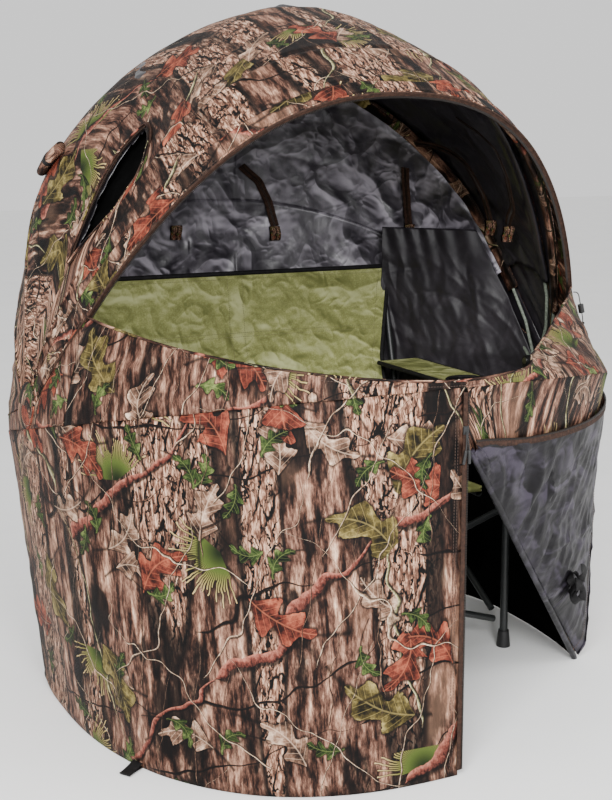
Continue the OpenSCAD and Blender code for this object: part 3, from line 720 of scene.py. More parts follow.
def field_of(seed: int, u: Array, v: Array, waves: Sequence[tuple[float, float, float]]) -> Array:
    """Sums soft folds over a cloth.

    Args:
        seed: Seed of the folds' directions and phases.
        u: Places across the cloth in metres.
        v: Places along it.
        waves: Each a fold's wavelength across, wavelength along and height, in metres.

    Returns:
        The height at each place.
    """
    rng = np.random.default_rng(seed)
    total = np.zeros(np.broadcast(u, v).shape)
    for wide, long, height in waves:
        for _ in range(3):
            a, b = rng.uniform(0.7, 1.4, 2)
            phase, bend = rng.uniform(0, math.tau), rng.uniform(0.5, 2.0)
            lean = rng.uniform(-1, 1)
            path = a * u / wide + lean * 0.35 * v / long + 0.25 * np.sin(math.tau * b * v / long + phase)
            fade = 0.5 + 0.5 * np.sin(math.tau * (b * v / long * 0.5 + bend * u / wide * 0.13) + phase * 1.7)
            total += height / 3 * np.sin(math.tau * path + phase) * fade
    return total


def creases(seed: int, u: Array, v: Array, count: int, height: float, width: float) -> Array:
    """Scatters sharp creases over a cloth.

    Args:
        seed: Seed of their places.
        u: Places across the cloth in metres.
        v: Places along it.
        count: Number of creases.
        height: Height of the largest.
        width: How quickly each falls away to its sides.

    Returns:
        The height at each place.
    """
    rng = np.random.default_rng(seed)
    total = np.zeros(u.shape)
    for _ in range(count):
        middle = rng.uniform(u.min(), u.max()), rng.uniform(v.min(), v.max())
        heading = rng.normal(0.9, 0.75)
        along = (u - middle[0]) * math.cos(heading) + (v - middle[1]) * math.sin(heading)
        across = (v - middle[1]) * math.cos(heading) - (u - middle[0]) * math.sin(heading)
        reach = rng.uniform(0.05, 0.16)
        across = across + rng.uniform(-0.6, 0.6) * along**2 / reach
        size = height * rng.uniform(0.3, 1.0) * rng.choice([-1, 1])
        ridge = np.exp(-np.abs(across) / (width * rng.uniform(0.6, 1.5)))
        total += size * ridge * np.exp(-((along / reach) ** 4))
    return total


def grid_normals(points: Array) -> Array:
    """Returns unit normals of a grid of points, rows first."""
    a = np.gradient(points, axis=0)
    b = np.gradient(points, axis=1)
    n = np.cross(a, b)
    size = np.linalg.norm(n, axis=-1, keepdims=True)
    return n / np.maximum(size, 1e-12)


def grid_lengths(points: Array) -> tuple[Array, Array]:
    """Returns cloth coordinates in metres: along the columns and along the rows, centred on the grid."""
    du = np.linalg.norm(np.diff(points, axis=1), axis=-1)
    dv = np.linalg.norm(np.diff(points, axis=0), axis=-1)
    u = np.concatenate([np.zeros((points.shape[0], 1)), np.cumsum(du, 1)], 1)
    v = np.concatenate([np.zeros((1, points.shape[1])), np.cumsum(dv, 0)], 0)
    u -= u[:, u.shape[1] // 2][:, None]
    return u, v


@dataclass
class Cloth:
    """A sheet of cloth on a grid of points.

    Attributes:
        name: The piece's name.
        points: Grid of outer points, rows by columns by three.
        outer: Finish of its outer face.
        inner: Finish of its inner face.
        away: A point on the inner side, which the outer face looks away from.
        turn_print: True where the print runs along the columns.
        offset: Shift of the print in metres.
    """

    name: str
    points: Array
    outer: Finish
    inner: Finish
    away: tuple[float, float, float] = (0.0, 0.05, 0.7)
    thickness: float = CLOTH_T
    turn_print: bool = False
    offset: tuple[float, float] = (0.0, 0.0)
    keep: Optional[Array] = None
    closed: bool = False

    def pushed(self, height: Array) -> "Cloth":
        """Moves the points along their outward normals by a height in metres and returns the cloth."""
        n = grid_normals(self.points)
        out = self.points - np.array(self.away)
        flip = np.sign(np.sum(n * out, -1, keepdims=True))
        self.points = self.points + n * flip * height[..., None]
        return self

    def build(self) -> Piece:
        """Makes the cloth's mesh, with its thickness and both finishes, and returns the object."""
        rows, cols, _ = self.points.shape
        ids = np.arange(rows * cols).reshape(rows, cols)
        quads = np.stack([ids[:-1, :-1], ids[:-1, 1:], ids[1:, 1:], ids[1:, :-1]], -1)
        if self.keep is not None:
            quads = quads[self.keep]
        quads = quads.reshape(-1, 4)
        flat = self.points.reshape(-1, 3)
        mid = flat[quads].mean(1)
        n = np.cross(flat[quads[:, 2]] - flat[quads[:, 0]], flat[quads[:, 3]] - flat[quads[:, 1]])
        if np.sum(np.sign(np.sum(n * (mid - np.array(self.away)), -1))) < 0:
            quads = quads[:, ::-1]
        u, v = grid_lengths(self.points)
        if self.turn_print:
            u, v = v, u
        uv = np.stack([u.ravel() + self.offset[0], v.ravel() + self.offset[1]], -1)
        mesh = bpy.data.meshes.new(self.name)
        mesh.from_pydata(flat.tolist(), [], quads.tolist())
        layer = mesh.uv_layers.new(name="UVMap")
        loops = np.empty(len(mesh.loops), int)
        mesh.loops.foreach_get("vertex_index", loops)
        layer.data.foreach_set("uv", uv[loops].ravel())
        made = bpy.data.objects.new(self.name, mesh)
        bpy.context.collection.objects.link(made)
        mesh.materials.append(self.outer.build())
        mesh.materials.append(self.inner.build())
        self.weld(mesh)
        mesh.polygons.foreach_set("use_smooth", [True] * len(mesh.polygons))
        wall = made.modifiers.new("thickness", "SOLIDIFY")
        wall.thickness = self.thickness
        wall.offset = -1
        wall.material_offset = 1
        wall.material_offset_rim = 0
        apply_modifiers(made)
        LOG.info("%s: %d faces", self.name, len(made.data.polygons))
        return made

    @staticmethod
    def weld(mesh: bpy.types.Mesh) -> None:
        """Merges points that coincide and drops loose ones."""
        work = bmesh.new()
        work.from_mesh(mesh)
        bmesh.ops.remove_doubles(work, verts=work.verts, dist=1e-6)
        loose = [v for v in work.verts if not v.link_faces]
        bmesh.ops.delete(work, geom=loose, context="VERTS")
        work.to_mesh(mesh)
        work.free()

    def declare(self, made: Piece, held: Hold, rests_on: Sequence[str] = ()) -> None:
        """Args:
            made: The finished piece; not used.
            held: How the sheet is held; not used.
            rests_on: What it hangs from or lies on; not used.
        """
        du = np.linalg.norm(np.diff(self.points, axis=1), axis=-1).sum(1)
        dv = np.linalg.norm(np.diff(self.points, axis=0), axis=-1).sum(0)
        wide, long = float(du.max()), float(dv.max())
        a = self.points[1:, 1:] - self.points[:-1, :-1]
        b = self.points[1:, :-1] - self.points[:-1, 1:]
        cells = np.linalg.norm(np.cross(a, b), axis=-1) / 2
        area = float(cells[self.keep].sum() if self.keep is not None else cells.sum())
        area = min(max(area, 0.31 * wide * long), wide * long)
        LOG.info("%s: cut %.3f by %.3f m, %.3f square metres", self.name, wide, long, area)


def apply_modifiers(made: Piece) -> None:
    """Applies all of an object's modifiers."""
    bpy.ops.object.select_all(action="DESELECT")
    bpy.context.view_layer.objects.active = made
    made.select_set(True)
    for name in [m.name for m in made.modifiers]:
        bpy.ops.object.modifier_apply(modifier=name)
    made.select_set(False)


def smooth_step(value: Array, low: float, high: float) -> Array:
    """Returns a smooth step from 0 at low to 1 at high."""
    t = np.clip((value - low) / (high - low), 0, 1)
    return t * t * (3 - 2 * t)


def swept(name: str, path: Array, across: Array, sizes: tuple[float, float], finish: Finish,
          sides: int = 12, ends: bool = True) -> Piece:
    """Sweeps an oval section along a path.

    Args:
        name: The piece's name.
        path: Points of the path, in metres.
        across: For each point, the direction of the section's first axis.
        sizes: Half sizes of the section along that axis and across it.
        finish: Its finish.
        sides: Corners of the section.
        ends: True to close the two ends.

    Returns:
        The new object.
    """
    tangent = np.gradient(path, axis=0)
    tangent /= np.linalg.norm(tangent, axis=1, keepdims=True)
    first = across - tangent * np.sum(across * tangent, 1, keepdims=True)
    first /= np.linalg.norm(first, axis=1, keepdims=True)
    second = np.cross(tangent, first)
    turn = np.linspace(0, math.tau, sides, endpoint=False)
    rings = (path[:, None] + first[:, None] * (np.cos(turn) * sizes[0])[None, :, None]
             + second[:, None] * (np.sin(turn) * sizes[1])[None, :, None])
    count = len(path)
    ids = np.arange(count * sides).reshape(count, sides)
    nxt = np.roll(ids, -1, axis=1)
    quads = np.stack([ids[:-1], nxt[:-1], nxt[1:], ids[1:]], -1).reshape(-1, 4).tolist()
    if ends:
        quads += [ids[0][::-1].tolist(), ids[-1].tolist()]
    along = np.concatenate([[0], np.cumsum(np.linalg.norm(np.diff(path, axis=0), axis=1))])
    return finish_mesh(
        name, rings.reshape(-1, 3), quads, finish,
        np.stack([np.tile(turn / math.tau * 4 * sum(sizes) / 2, count), np.repeat(along, sides)], -1))


def finish_mesh(name: str, points: Array, faces: list, finish: Finish, uv: Optional[Array] = None,
                smooth: bool = True) -> Piece:
    """Makes an object from points and faces with outward normals and one finish.

    Args:
        name: The piece's name.
        points: Its corners.
        faces: Lists of corner numbers.
        finish: Its finish.
        uv: A cloth place in metres for each corner.
        smooth: True for smooth shading.

    Returns:
        The new object.
    """
    mesh = bpy.data.meshes.new(name)
    mesh.from_pydata(np.asarray(points).tolist(), [], faces)
    if uv is not None:
        loops = np.empty(len(mesh.loops), int)
        mesh.loops.foreach_get("vertex_index", loops)
        mesh.uv_layers.new(name="UVMap").data.foreach_set("uv", uv[loops].ravel())
    work = bmesh.new()
    work.from_mesh(mesh)
    bmesh.ops.recalc_face_normals(work, faces=work.faces)
    work.to_mesh(mesh)
    work.free()
    mesh.polygons.foreach_set("use_smooth", [smooth] * len(mesh.polygons))
    mesh.materials.append(finish.build())
    made = bpy.data.objects.new(name, mesh)
    bpy.context.collection.objects.link(made)
    return made


def beads(name: str, centres: Array, along: Array, up: Array, size: tuple[float, float, float],
          finish: Finish) -> Piece:
    """Lays a row of small blocks, such as zip teeth or stitches.

    Args:
        name: The piece's name.
        centres: The blocks' middles.
        along: For each block, the direction of its length.
        up: For each block, the direction of its height.
        size: Length, width and height in metres.
        finish: Their finish.

    Returns:
        The new object.
    """
    along = along / np.linalg.norm(along, axis=1, keepdims=True)
    side = np.cross(along, up)
    side /= np.linalg.norm(side, axis=1, keepdims=True)
    high = np.cross(side, along)
    corners = np.array([(a, b, c) for a in (-1, 1) for b in (-1, 1) for c in (-1, 1)]) / 2
    taper = np.where(corners[:, 2:] > 0, 0.7, 1.0)
    corners = corners * np.concatenate([taper, taper, np.ones_like(taper)], 1)
    points = (centres[:, None] + corners[None, :, 0:1] * size[0] * along[:, None]
              + corners[None, :, 1:2] * size[1] * side[:, None] + corners[None, :, 2:3] * size[2] * high[:, None])
    block = np.array([(0, 1, 3, 2), (4, 6, 7, 5), (0, 4, 5, 1), (2, 3, 7, 6), (0, 2, 6, 4), (1, 5, 7, 3)])
    faces = (np.arange(len(centres))[:, None, None] * 8 + block[None]).reshape(-1, 4).tolist()
    return finish_mesh(name, points.reshape(-1, 3), faces, finish, smooth=False)


def spaced(path: Array, pitch: float) -> tuple[Array, Array]:
    """Walks a path in equal steps.

    Args:
        path: The path's points.
        pitch: The step in metres.

    Returns:
        The stops and the path's direction at each.
    """
    run = np.concatenate([[0], np.cumsum(np.linalg.norm(np.diff(path, axis=0), axis=1))])
    stops = np.arange(pitch / 2, run[-1], pitch)
    at = np.stack([np.interp(stops, run, path[:, k]) for k in range(3)], 1)
    ahead = np.stack([np.interp(stops + pitch * 0.3, run, path[:, k]) for k in range(3)], 1)
    behind = np.stack([np.interp(stops - pitch * 0.3, run, path[:, k]) for k in range(3)], 1)
    return at, ahead - behind


def tape(name: str, path: Array, across: Array, width: float, thick: float, finish: Finish,
         crown: float = 0.0) -> Piece:
    """Makes a flat woven tape along a path.

    Args:
        name: The piece's name.
        path: The middle of the tape.
        across: For each point, the direction across the tape.
        width: The tape's width in metres.
        thick: Its thickness.
        finish: Its finish.
        crown: How far its middle stands proud of its edges.

    Returns:
        The new object.
    """
    tangent = np.gradient(path, axis=0)
    tangent /= np.linalg.norm(tangent, axis=1, keepdims=True)
    across = across - tangent * np.sum(across * tangent, 1, keepdims=True)
    across /= np.linalg.norm(across, axis=1, keepdims=True)
    up = np.cross(tangent, across)
    share = np.array([-0.5, -0.42, 0.0, 0.42, 0.5])
    edge = np.array([-0.35, 0.5, 0.5 + crown / thick, 0.5, -0.35])
    sideways = across[:, None] * (share * width)[None, :, None]
    top = path[:, None] + sideways + up[:, None] * (edge * thick)[None, :, None]
    low = path[:, None] + across[:, None] * (share * width)[None, :, None] - up[:, None] * (thick / 2)
    rings = np.concatenate([top, low[:, ::-1]], 1)
    sides = rings.shape[1]
    count = len(path)
    ids = np.arange(count * sides).reshape(count, sides)
    nxt = np.roll(ids, -1, axis=1)
    faces = np.stack([ids[:-1], nxt[:-1], nxt[1:], ids[1:]], -1).reshape(-1, 4).tolist()
    faces += [ids[0][::-1].tolist(), ids[-1].tolist()]
    return finish_mesh(name, rings.reshape(-1, 3), faces, finish)


# ------------------------------------------------------------------ hood


WINDOW_LOW, WINDOW_HIGH = -0.780, -0.500


def window_edges(s: Array) -> tuple[Array, Array]:
    """Returns the leans of the side window's rear and front edges at places along the arch."""
    t = np.clip((s - WINDOW_LOW) / (WINDOW_HIGH - WINDOW_LOW), 0, 1)
    swell = np.maximum(0, np.sin(np.pi * t**1.4)) ** 0.7
    rear = -3.2 - 2.8 * (1 - swell)
    return rear, np.maximum(-16.9, rear - 0.8 - 13.6 * swell)


def in_window(lean: Array, s: Array) -> Array:
    """Tells which places lie in the side window."""
    rear, front = window_edges(np.broadcast_to(s, lean.shape))
    return (s > WINDOW_LOW) & (s < WINDOW_HIGH) & (lean < rear) & (lean > front)


@dataclass
class Gore:
    """One panel of the hood, sewn between two neighbouring bows.

    Attributes:
        node: The frame's node that it replaces.
        first: The body at its rear edge.
        second: The body at its front edge.
        seed: Seed of its folds.
        sag: How far it dips between the bows.
        window: True where the side window is cut in it.
    """

    node: str
    first: Body
    second: Body
    seed: int
    sag: float
    window: bool = False

    def places(self) -> Array:
        """Returns the grid's columns from -1 on the right to 1 on the left, closer beside the window."""
        return np.unique(np.concatenate([np.linspace(-1, 1, 181), np.linspace(WINDOW_LOW, WINDOW_HIGH, 70)]))

    def leans(self, s: Array) -> Array:
        """Returns the lean at each row and column, with rows along the window's two edges."""
        a, b = np.full_like(s, LEANS[self.first]), np.full_like(s, LEANS[self.second])
        stops = [a, *(window_edges(s) if self.window else ()), b]
        counts = (24, 14, 10) if self.window else (max(6, int(abs(a[0] - b[0]) / 0.8)),)
        rows = [p + (q - p) * np.linspace(0, 1, n, endpoint=False)[:, None]
                for p, q, n in zip(stops[:-1], stops[1:], counts)]
        return np.concatenate([*rows, b[None]])

    def points(self, lean: Array, s: Array) -> tuple[Array, Array]:
        """Returns the grid's points on the shell and the share of the way across the gore at each."""
        share = (lean - LEANS[self.first]) / (LEANS[self.second] - LEANS[self.first])
        return SHELL.arch(lean, np.broadcast_to(s, lean.shape)), share

    def shape(self) -> Cloth:
        """Builds the outer cloth's grid with its sag, its seams and its soft folds."""
        s = self.places()
        lean = self.leans(s)
        points, share = self.points(lean, s)
        cloth = Cloth(self.node + "_cloth", points, CAMO, LINING, turn_print=False,
                      offset=(0.13 * self.seed, 0.41 * self.seed))
        u, v = grid_lengths(points)
        between = np.sin(np.pi * np.clip(share, 0, 1)) ** 0.8
        low = smooth_step(np.abs(np.broadcast_to(s, share.shape)), 0.35, 0.95)
        folds = field_of(self.seed, u, v, [(0.5, 0.12, 0.0045), (0.16, 0.06, 0.0018)])
        height = -self.sag * between * (1 - 0.4 * low) + folds * between * (0.6 + low)
        seam = np.minimum(share, 1 - share) * abs(LEANS[self.first] - LEANS[self.second]) / 57.3 * 0.7
        height += 0.0022 * np.exp(-((seam - 0.012) / 0.006) ** 2) - 0.0012 * np.exp(-((seam) / 0.004) ** 2)
        cloth.pushed(height)
        if self.window:
            cloth.keep = ~in_window((lean[:-1, :-1] + lean[1:, 1:]) / 2, (s[:-1] + s[1:])[None] / 2)
        return cloth

    def join(self, piece: Piece) -> None:
        """Bakes a piece's transform into its mesh."""
        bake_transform(piece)

    def build(self) -> Piece:
        """Makes the outer cloth in place of the frame's node."""
        cloth = self.shape()
        piece = cloth.build()
        self.join(piece)
        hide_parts(self.node)
        cloth.declare(piece, Hold.STRETCHED)
        return piece


GORES = (
    Gore("hood_rear_panel", Body.ROOT, Body.REAR_BOW, 1, 0.010),
    Gore("hood_back_panel", Body.REAR_BOW, Body.TOP_BOW, 2, 0.008),
    Gore("hood_top_panel", Body.TOP_BOW, Body.SECOND_BOW, 3, 0.009, True),
    Gore("hood_front_panel", Body.SECOND_BOW, Body.RIM_BOW, 4, 0.003),
)


INNER_ZIPS = (
    (GORES[1], ((50.3, 0.044), (52.8, 0.104), (56.6, 0.134), (61.5, 0.152))),
    (GORES[0], ((59.5, -0.076), (61.2, -0.078))),
    (GORES[2], ((28.2, 0.494), (20.6, 0.546), (14.3, 0.598), (12.4, 0.678), (15.7, 0.734))),
    (GORES[2], ((-3.9, 0.45), (-12.0, 0.45), (-16.8, 0.47), (-16.8, 0.56), (-14.0, 0.66), (-2.8, 0.734))),
    (GORES[1], ((36.4, 0.508), (43.2, 0.536), (50.0, 0.554))))


@dataclass
class Hood:
    """The hood: four gores, the visor with its zip rim, the bows' sleeves, windows and inner linings."""

    corner_y: float = -0.182
    corner_z: float = 0.883
    rim_z: float = 1.315
    corner_s: float = 0.78
    inset: float = 0.015
    eyes_x: float = 0.608

    def rim_point(self, t: Array) -> Array:
        """Returns the free rim's points, from -1 at the right corner to 1 at the left."""
        k = np.sin(np.pi / 2 * (1 - np.abs(t)))
        z = self.corner_z + (self.rim_z - self.corner_z) * k
        top_y = SHELL.mid_y - float(SHELL.reach(np.array(-1.0), np.array(self.rim_z)))
        y = self.corner_y + (top_y - self.corner_y) * k
        x = np.where(np.abs(t) < 1e-9, 0.0, np.sign(t) * SHELL.skin_x(y, z))
        return np.stack([x, y, z], -1)

    def visor(self) -> Piece:
        """Makes the visor, from the rim bow to the free rim and down to the yoke."""
        s = np.linspace(-1, 1, 181)
        w = np.linspace(0, 1, 15)
        size = np.abs(s)
        rim = self.rim_point(np.sign(s) * np.clip(size / self.corner_s, 0, 1))
        b = np.clip((size - self.corner_s) / (1 - self.corner_s), 0, 1)
        low_y = self.corner_y + (SHELL.hub_y - SHELL.hub_gap - self.corner_y) * b
        low_z = self.corner_z + (SHELL.hub_z - self.corner_z) * b + 0.002
        (edge_y, edge_z) = (
            np.where(size <= self.corner_s, rim[:, 1], low_y),
            np.where(size <= self.corner_s, rim[:, 2], low_z))
        bow = SHELL.arch(np.full_like(s, LEANS[Body.RIM_BOW] - 0.15), np.sign(s) * size**0.93)
        y = bow[:, 1] + (edge_y - bow[:, 1]) * w[:, None]
        z = bow[:, 2] + (edge_z - bow[:, 2]) * w[:, None]
        x = np.where(size < 1e-9, 0.0, np.sign(s) * SHELL.skin_x(y, z))
        points = np.stack([x, y, z], -1)
        cloth = Cloth("hood_visor_cloth", points, CAMO, CAMO, offset=(0.9, 2.2))
        u, v = grid_lengths(points)
        edge = np.broadcast_to(w[:, None], x.shape)
        cloth.pushed(field_of(9, u, v, [(0.2, 0.09, 0.0020)]) * np.sin(np.pi * edge)
                     + 0.003 * np.exp(-((edge - 0.92) / 0.05) ** 2) - 0.003 * np.exp(-((edge - 0.786) / 0.03) ** 2))
        piece = cloth.build()
        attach(piece, Body.RIM_BOW.value)
        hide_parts("hood_visor")
        cloth.declare(piece, Hold.STRETCHED)
        self.rim_zip(cloth.points[-1])
        seam = cloth.points[11, 14:-14]
        at, along = spaced(seam, 0.006)
        out = at - np.array([0.0, 0.06, 0.75])
        row = beads(
            "visor_casing_stitch", at + out * 0.0015, along, out, (0.0038, 0.0012, 0.001), DARK_THREAD)
        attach(row, Body.RIM_BOW.value)
        return piece

    def rim_zip(self, edge: Array) -> None:
        """Sews the brown zip tape with its teeth along the inner side of the rim.

        Args:
            edge: The rim's points, right to left.
        """
        chosen = edge[8:-8]
        inward = np.array([0.0, 0.08, 0.72]) - chosen
        inward /= np.linalg.norm(inward, axis=1, keepdims=True)
        path = chosen + inward * 0.004
        band = tape("rim_zip_tape", path, inward, 0.009, 0.0016, ZIP_TAPE)
        at, along = spaced(path + inward * 0.006, 0.0032)
        up = np.cross(along, np.array([0.0, 0.08, 0.72]) - at)
        teeth = beads("rim_zip_teeth", at, along, up, (0.0018, 0.005, 0.003), TEETH)
        piping = swept("rim_piping", chosen, inward, (0.0022, 0.0022), ZIP_TAPE, 8)
        for piece in (band, teeth, piping):
            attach(piece, Body.RIM_BOW.value)

    def bow_path(self, lean: float, layer: int, s: Array) -> Array:
        """Returns the middle of a bow's rod, the same rule as the frame's bows."""
        share = 1 - self.inset / SHELL.spring
        top = float(SHELL.ridge(np.array(lean))) * share
        r = 0.0106 + (top - 0.0106) * np.sin(np.pi / 2 * (1 - np.abs(s)))
        y = SHELL.hub_y + r * np.sin(np.radians(lean))
        z = SHELL.hub_z + r * np.cos(np.radians(lean))
        flat_y = SHELL.hub_y + r / share * np.sin(np.radians(lean))
        flat_z = SHELL.hub_z + r / share * np.cos(np.radians(lean))
        x = SHELL.skin_x(flat_y, flat_z) * share
        near = np.clip(1 - (r - 0.010) / 0.300, 0, 1) ** 2
        eye = self.eyes_x + layer * 0.010 + 0.004
        return np.stack([np.sign(s) * (x + (eye - x) * near), y, z], -1)

    def sleeve(self, body: Body, layer: int, half: tuple[float, float], finish: Finish, low: float) -> None:
        """Makes the cloth sleeve that a bow's rod runs in, leaving its ends bare.

        Args:
            body: The bow's body.
            layer: The bow's eye, counted from the inside.
            half: Half width and half depth of the sleeve.
            finish: Its finish.
            low: Where it ends, as a place from 0 at the ridge to 1 at the pivot.
        """
        lean = LEANS[body]
        s = np.linspace(-low, low, 150)
        path = self.bow_path(lean, layer, s)
        rng = np.random.default_rng(layer + 40)
        wave = sum(rng.uniform(0.5, 1) * np.sin(s * k * math.tau + rng.uniform(0, 6)) for k in (5, 9, 17)) / 3
        across = np.tile([0.0, math.cos(math.radians(lean)), -math.sin(math.radians(lean))], (len(s), 1))
        path = path + across * (wave * 0.0012)[:, None]
        piece = swept(body.value.replace("_body", "_sleeve"), path, across, half, finish, 14)
        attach(piece, body.value)
        edges = [path + across * (half[0] * 0.80 * side) for side in (-1, 1)]
        for number, edge in enumerate(edges):
            at, along = spaced(edge[6:-6], 0.006)
            inward = np.array([0.0, SHELL.hub_y, SHELL.hub_z]) - at
            inward /= np.linalg.norm(inward, axis=1, keepdims=True)
            row = beads(f"{piece.name}_stitch_{number}", at + inward * half[1] * 0.62, along, inward,
                        (0.0036, 0.0011, 0.0012), DARK_THREAD)
            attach(row, body.value)

    def lining(self, gore: Gore, low: float, folds: Sequence[tuple[float, float, float]], depth: float) -> None:
        """Hangs a crumpled lining inside a gore.

        Args:
            gore: The gore that it lines.
            low: Where it ends towards the pivots.
            folds: Its folds, as for field_of.
            depth: How far inside the outer cloth it hangs.
        """
        (s, lean) = np.meshgrid(
            np.linspace(-low, low, 190), np.linspace(LEANS[gore.first], LEANS[gore.second], 72))
        points, share = gore.points(lean, s)
        if not gore.window:
            part = np.linspace(0, 1, 16)[1:-1, None]
            crown = points[:, 94:95] + (points[:, 95:96] - points[:, 94:95]) * part
            points = np.concatenate([points[:, :95], crown, points[:, 95:]], axis=1)
            share = np.repeat(share[:, :1], points.shape[1], axis=1)
        # The two rear gores' linings take the lining painted lighter as painted light from the opening; the top
        # gore's keeps the plain lining.
        seen = LIT_PAINTED_LINING if gore in GORES[:2] else LINING
        cloth = Cloth(gore.node + "_lining", points, seen, seen, thickness=0.0006)
        if gore.window:
            cloth.keep = ~in_window(lean[:-1, :-1], s[:-1, :-1])
        u, v = grid_lengths(points)
        edge = np.minimum(share, 1 - share)
        held = smooth_step(edge, 0.0, 0.10)
        rear = share < 0.5 if gore.first is Body.REAR_BOW else share > 0.5
        deep = np.where(rear & (Body.REAR_BOW in (gore.first, gore.second)), 1.0, 0.35 + 0.65 * held)
        folded = field_of(gore.seed + 60, u, v, folds) + creases(gore.seed + 160, u, v, 46, 0.0075, 0.013)
        cloth.pushed(-depth * deep + folded * smooth_step(edge, 0.0, 0.10))
        piece = cloth.build()
        gore.join(piece)
        cloth.declare(piece, Hold.HUNG)

    def window(self) -> None:
        """Finishes the side window on the right: its zip edges and the cover hanging inside, in the lining painted
        near black as painted shade.
        """
        gore = GORES[2]
        s = np.linspace(WINDOW_LOW, WINDOW_HIGH, 90)
        rear, front = window_edges(s)
        path = np.concatenate([SHELL.arch(rear, s), SHELL.arch(front, s)[::-1]])
        path = path[np.concatenate([[True], np.linalg.norm(np.diff(path, axis=0), axis=1) > 0.0004])]
        out = path - np.array([0.0, SHELL.mid_y, 0.7])
        out /= np.linalg.norm(out, axis=1, keepdims=True)
        inward = path.mean(0) - path
        band = tape("window_edge_tape", path - out * 0.004 - 0.02 * inward, inward, 0.010, 0.0016, ZIP_TAPE)
        (at, along) = spaced(
            path - out * 0.004 + inward / np.linalg.norm(inward, axis=1, keepdims=True) * 0.006, 0.0032)
        teeth = beads(
            "window_edge_teeth", at, along, np.tile([-0.7, -0.4, 0.5], (len(at), 1)), (0.0018, 0.004, 0.003),
            TEETH)
        seam = swept("window_edge_piping", path, out, (0.0022, 0.0022), CAMO, 8)
        for piece, kind in ((band, "zip_tape"), (teeth, "zip_tape"), (seam, "camo")):
            gore.join(piece)
        grid_s, grid_lean = np.meshgrid(np.linspace(-0.83, -0.46, 50), np.linspace(4.5, -17.5, 30))
        # The cover is the lining painted near black as painted shade.
        cloth = Cloth(
            "window_cover_right_cloth", SHELL.arch(grid_lean, grid_s), SHADE_PAINTED_LINING, SHADE_PAINTED_LINING,
            thickness=0.0008)
        u, v = grid_lengths(cloth.points)
        cloth.pushed(-0.030 + field_of(77, u, v, [(0.08, 0.2, 0.005), (0.03, 0.08, 0.002)]))
        piece = cloth.build()
        gore.join(piece)
        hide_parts("window_cover_right")
        cloth.declare(piece, Hold.HUNG)

    def inner_zips(self) -> None:
        """Hangs the curved window zips and their toggle straps inside the hood."""
        for number, (gore, stops) in enumerate(INNER_ZIPS):
            t = np.linspace(0, len(stops) - 1, 14 * len(stops))
            lean, s = (np.interp(t, np.arange(len(stops)), [stop[k] for stop in stops]) for k in (0, 1))
            for _ in range(6):
                lean[1:-1] = (lean[:-2] + lean[1:-1] * 2 + lean[2:]) / 4
                s[1:-1] = (s[:-2] + s[1:-1] * 2 + s[2:]) / 4
            path = SHELL.arch(lean, s)
            inward = np.array([0.0, 0.06, 0.75]) - path
            inward /= np.linalg.norm(inward, axis=1, keepdims=True)
            path = path + inward * 0.042
            across = np.cross(np.gradient(path, axis=0), inward)
            across /= np.linalg.norm(across, axis=1, keepdims=True)
            parts = []
            if len(stops) > 2:
                parts.append(
                    (tape(f"window_zip_{number}", path, across, 0.022, 0.0016, ZIP_TAPE), "zip_tape"))
                at, along = spaced(path + inward * 0.0015, 0.0036)
                toward = np.array([0.0, 0.06, 0.75]) - at
                parts.append(
                    (
                        beads(f"window_zip_teeth_{number}", at, along, toward, (0.002, 0.006, 0.003), TEETH),
                        "zip_tape"))
            parts.append((SoftTab(f"window_tab_{number}", path[-1], CAMO, 0.030, 0.038).build(), "camo"))
            for piece, kind in parts:
                gore.join(piece)

    def toggle(self) -> None:
        """Rolls a strip of the print over the right shoulder, where an outer cover is tied up."""
        lean, s = np.linspace(28, 19, 24), np.linspace(-0.60, -0.58, 24)
        path = SHELL.arch(lean, s)
        out = path - np.array([0.0, 0.06, 0.75])
        out /= np.linalg.norm(out, axis=1, keepdims=True)
        roll = swept("shoulder_roll", path + out * 0.010, out, (0.012, 0.020), CAMO, 14)
        tie = swept(
            "shoulder_roll_tie", path[10:14] + out[10:14] * 0.01, out[10:14], (0.0132, 0.0212), WEBBING, 14)
        for piece, kind in ((roll, "camo"), (tie, "webbing")):
            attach(piece, Body.TOP_BOW.value)

    def build(self) -> None:
        """Builds the whole hood."""
        for gore in GORES:
            gore.build()
        self.visor()
        self.sleeve(Body.REAR_BOW, 0, (0.016, 0.0065), LINING, 0.88)
        self.sleeve(Body.TOP_BOW, 1, (0.021, 0.0065), CAMO, 0.86)
        self.sleeve(Body.SECOND_BOW, 2, (0.014, 0.0065), LINING, 0.82)
        self.sleeve(Body.RIM_BOW, 3, (0.012, 0.0062), CAMO, 0.88)
        self.lining(GORES[0], 0.86, [(0.16, 0.34, 0.008), (0.07, 0.16, 0.004)], 0.027)
        self.lining(GORES[1], 0.84, [(0.14, 0.30, 0.007), (0.06, 0.15, 0.003)], 0.027)
        self.lining(GORES[2], 0.84, [(0.16, 0.30, 0.006), (0.05, 0.14, 0.0025)], 0.014)
        self.window()
        self.inner_zips()
        self.toggle()


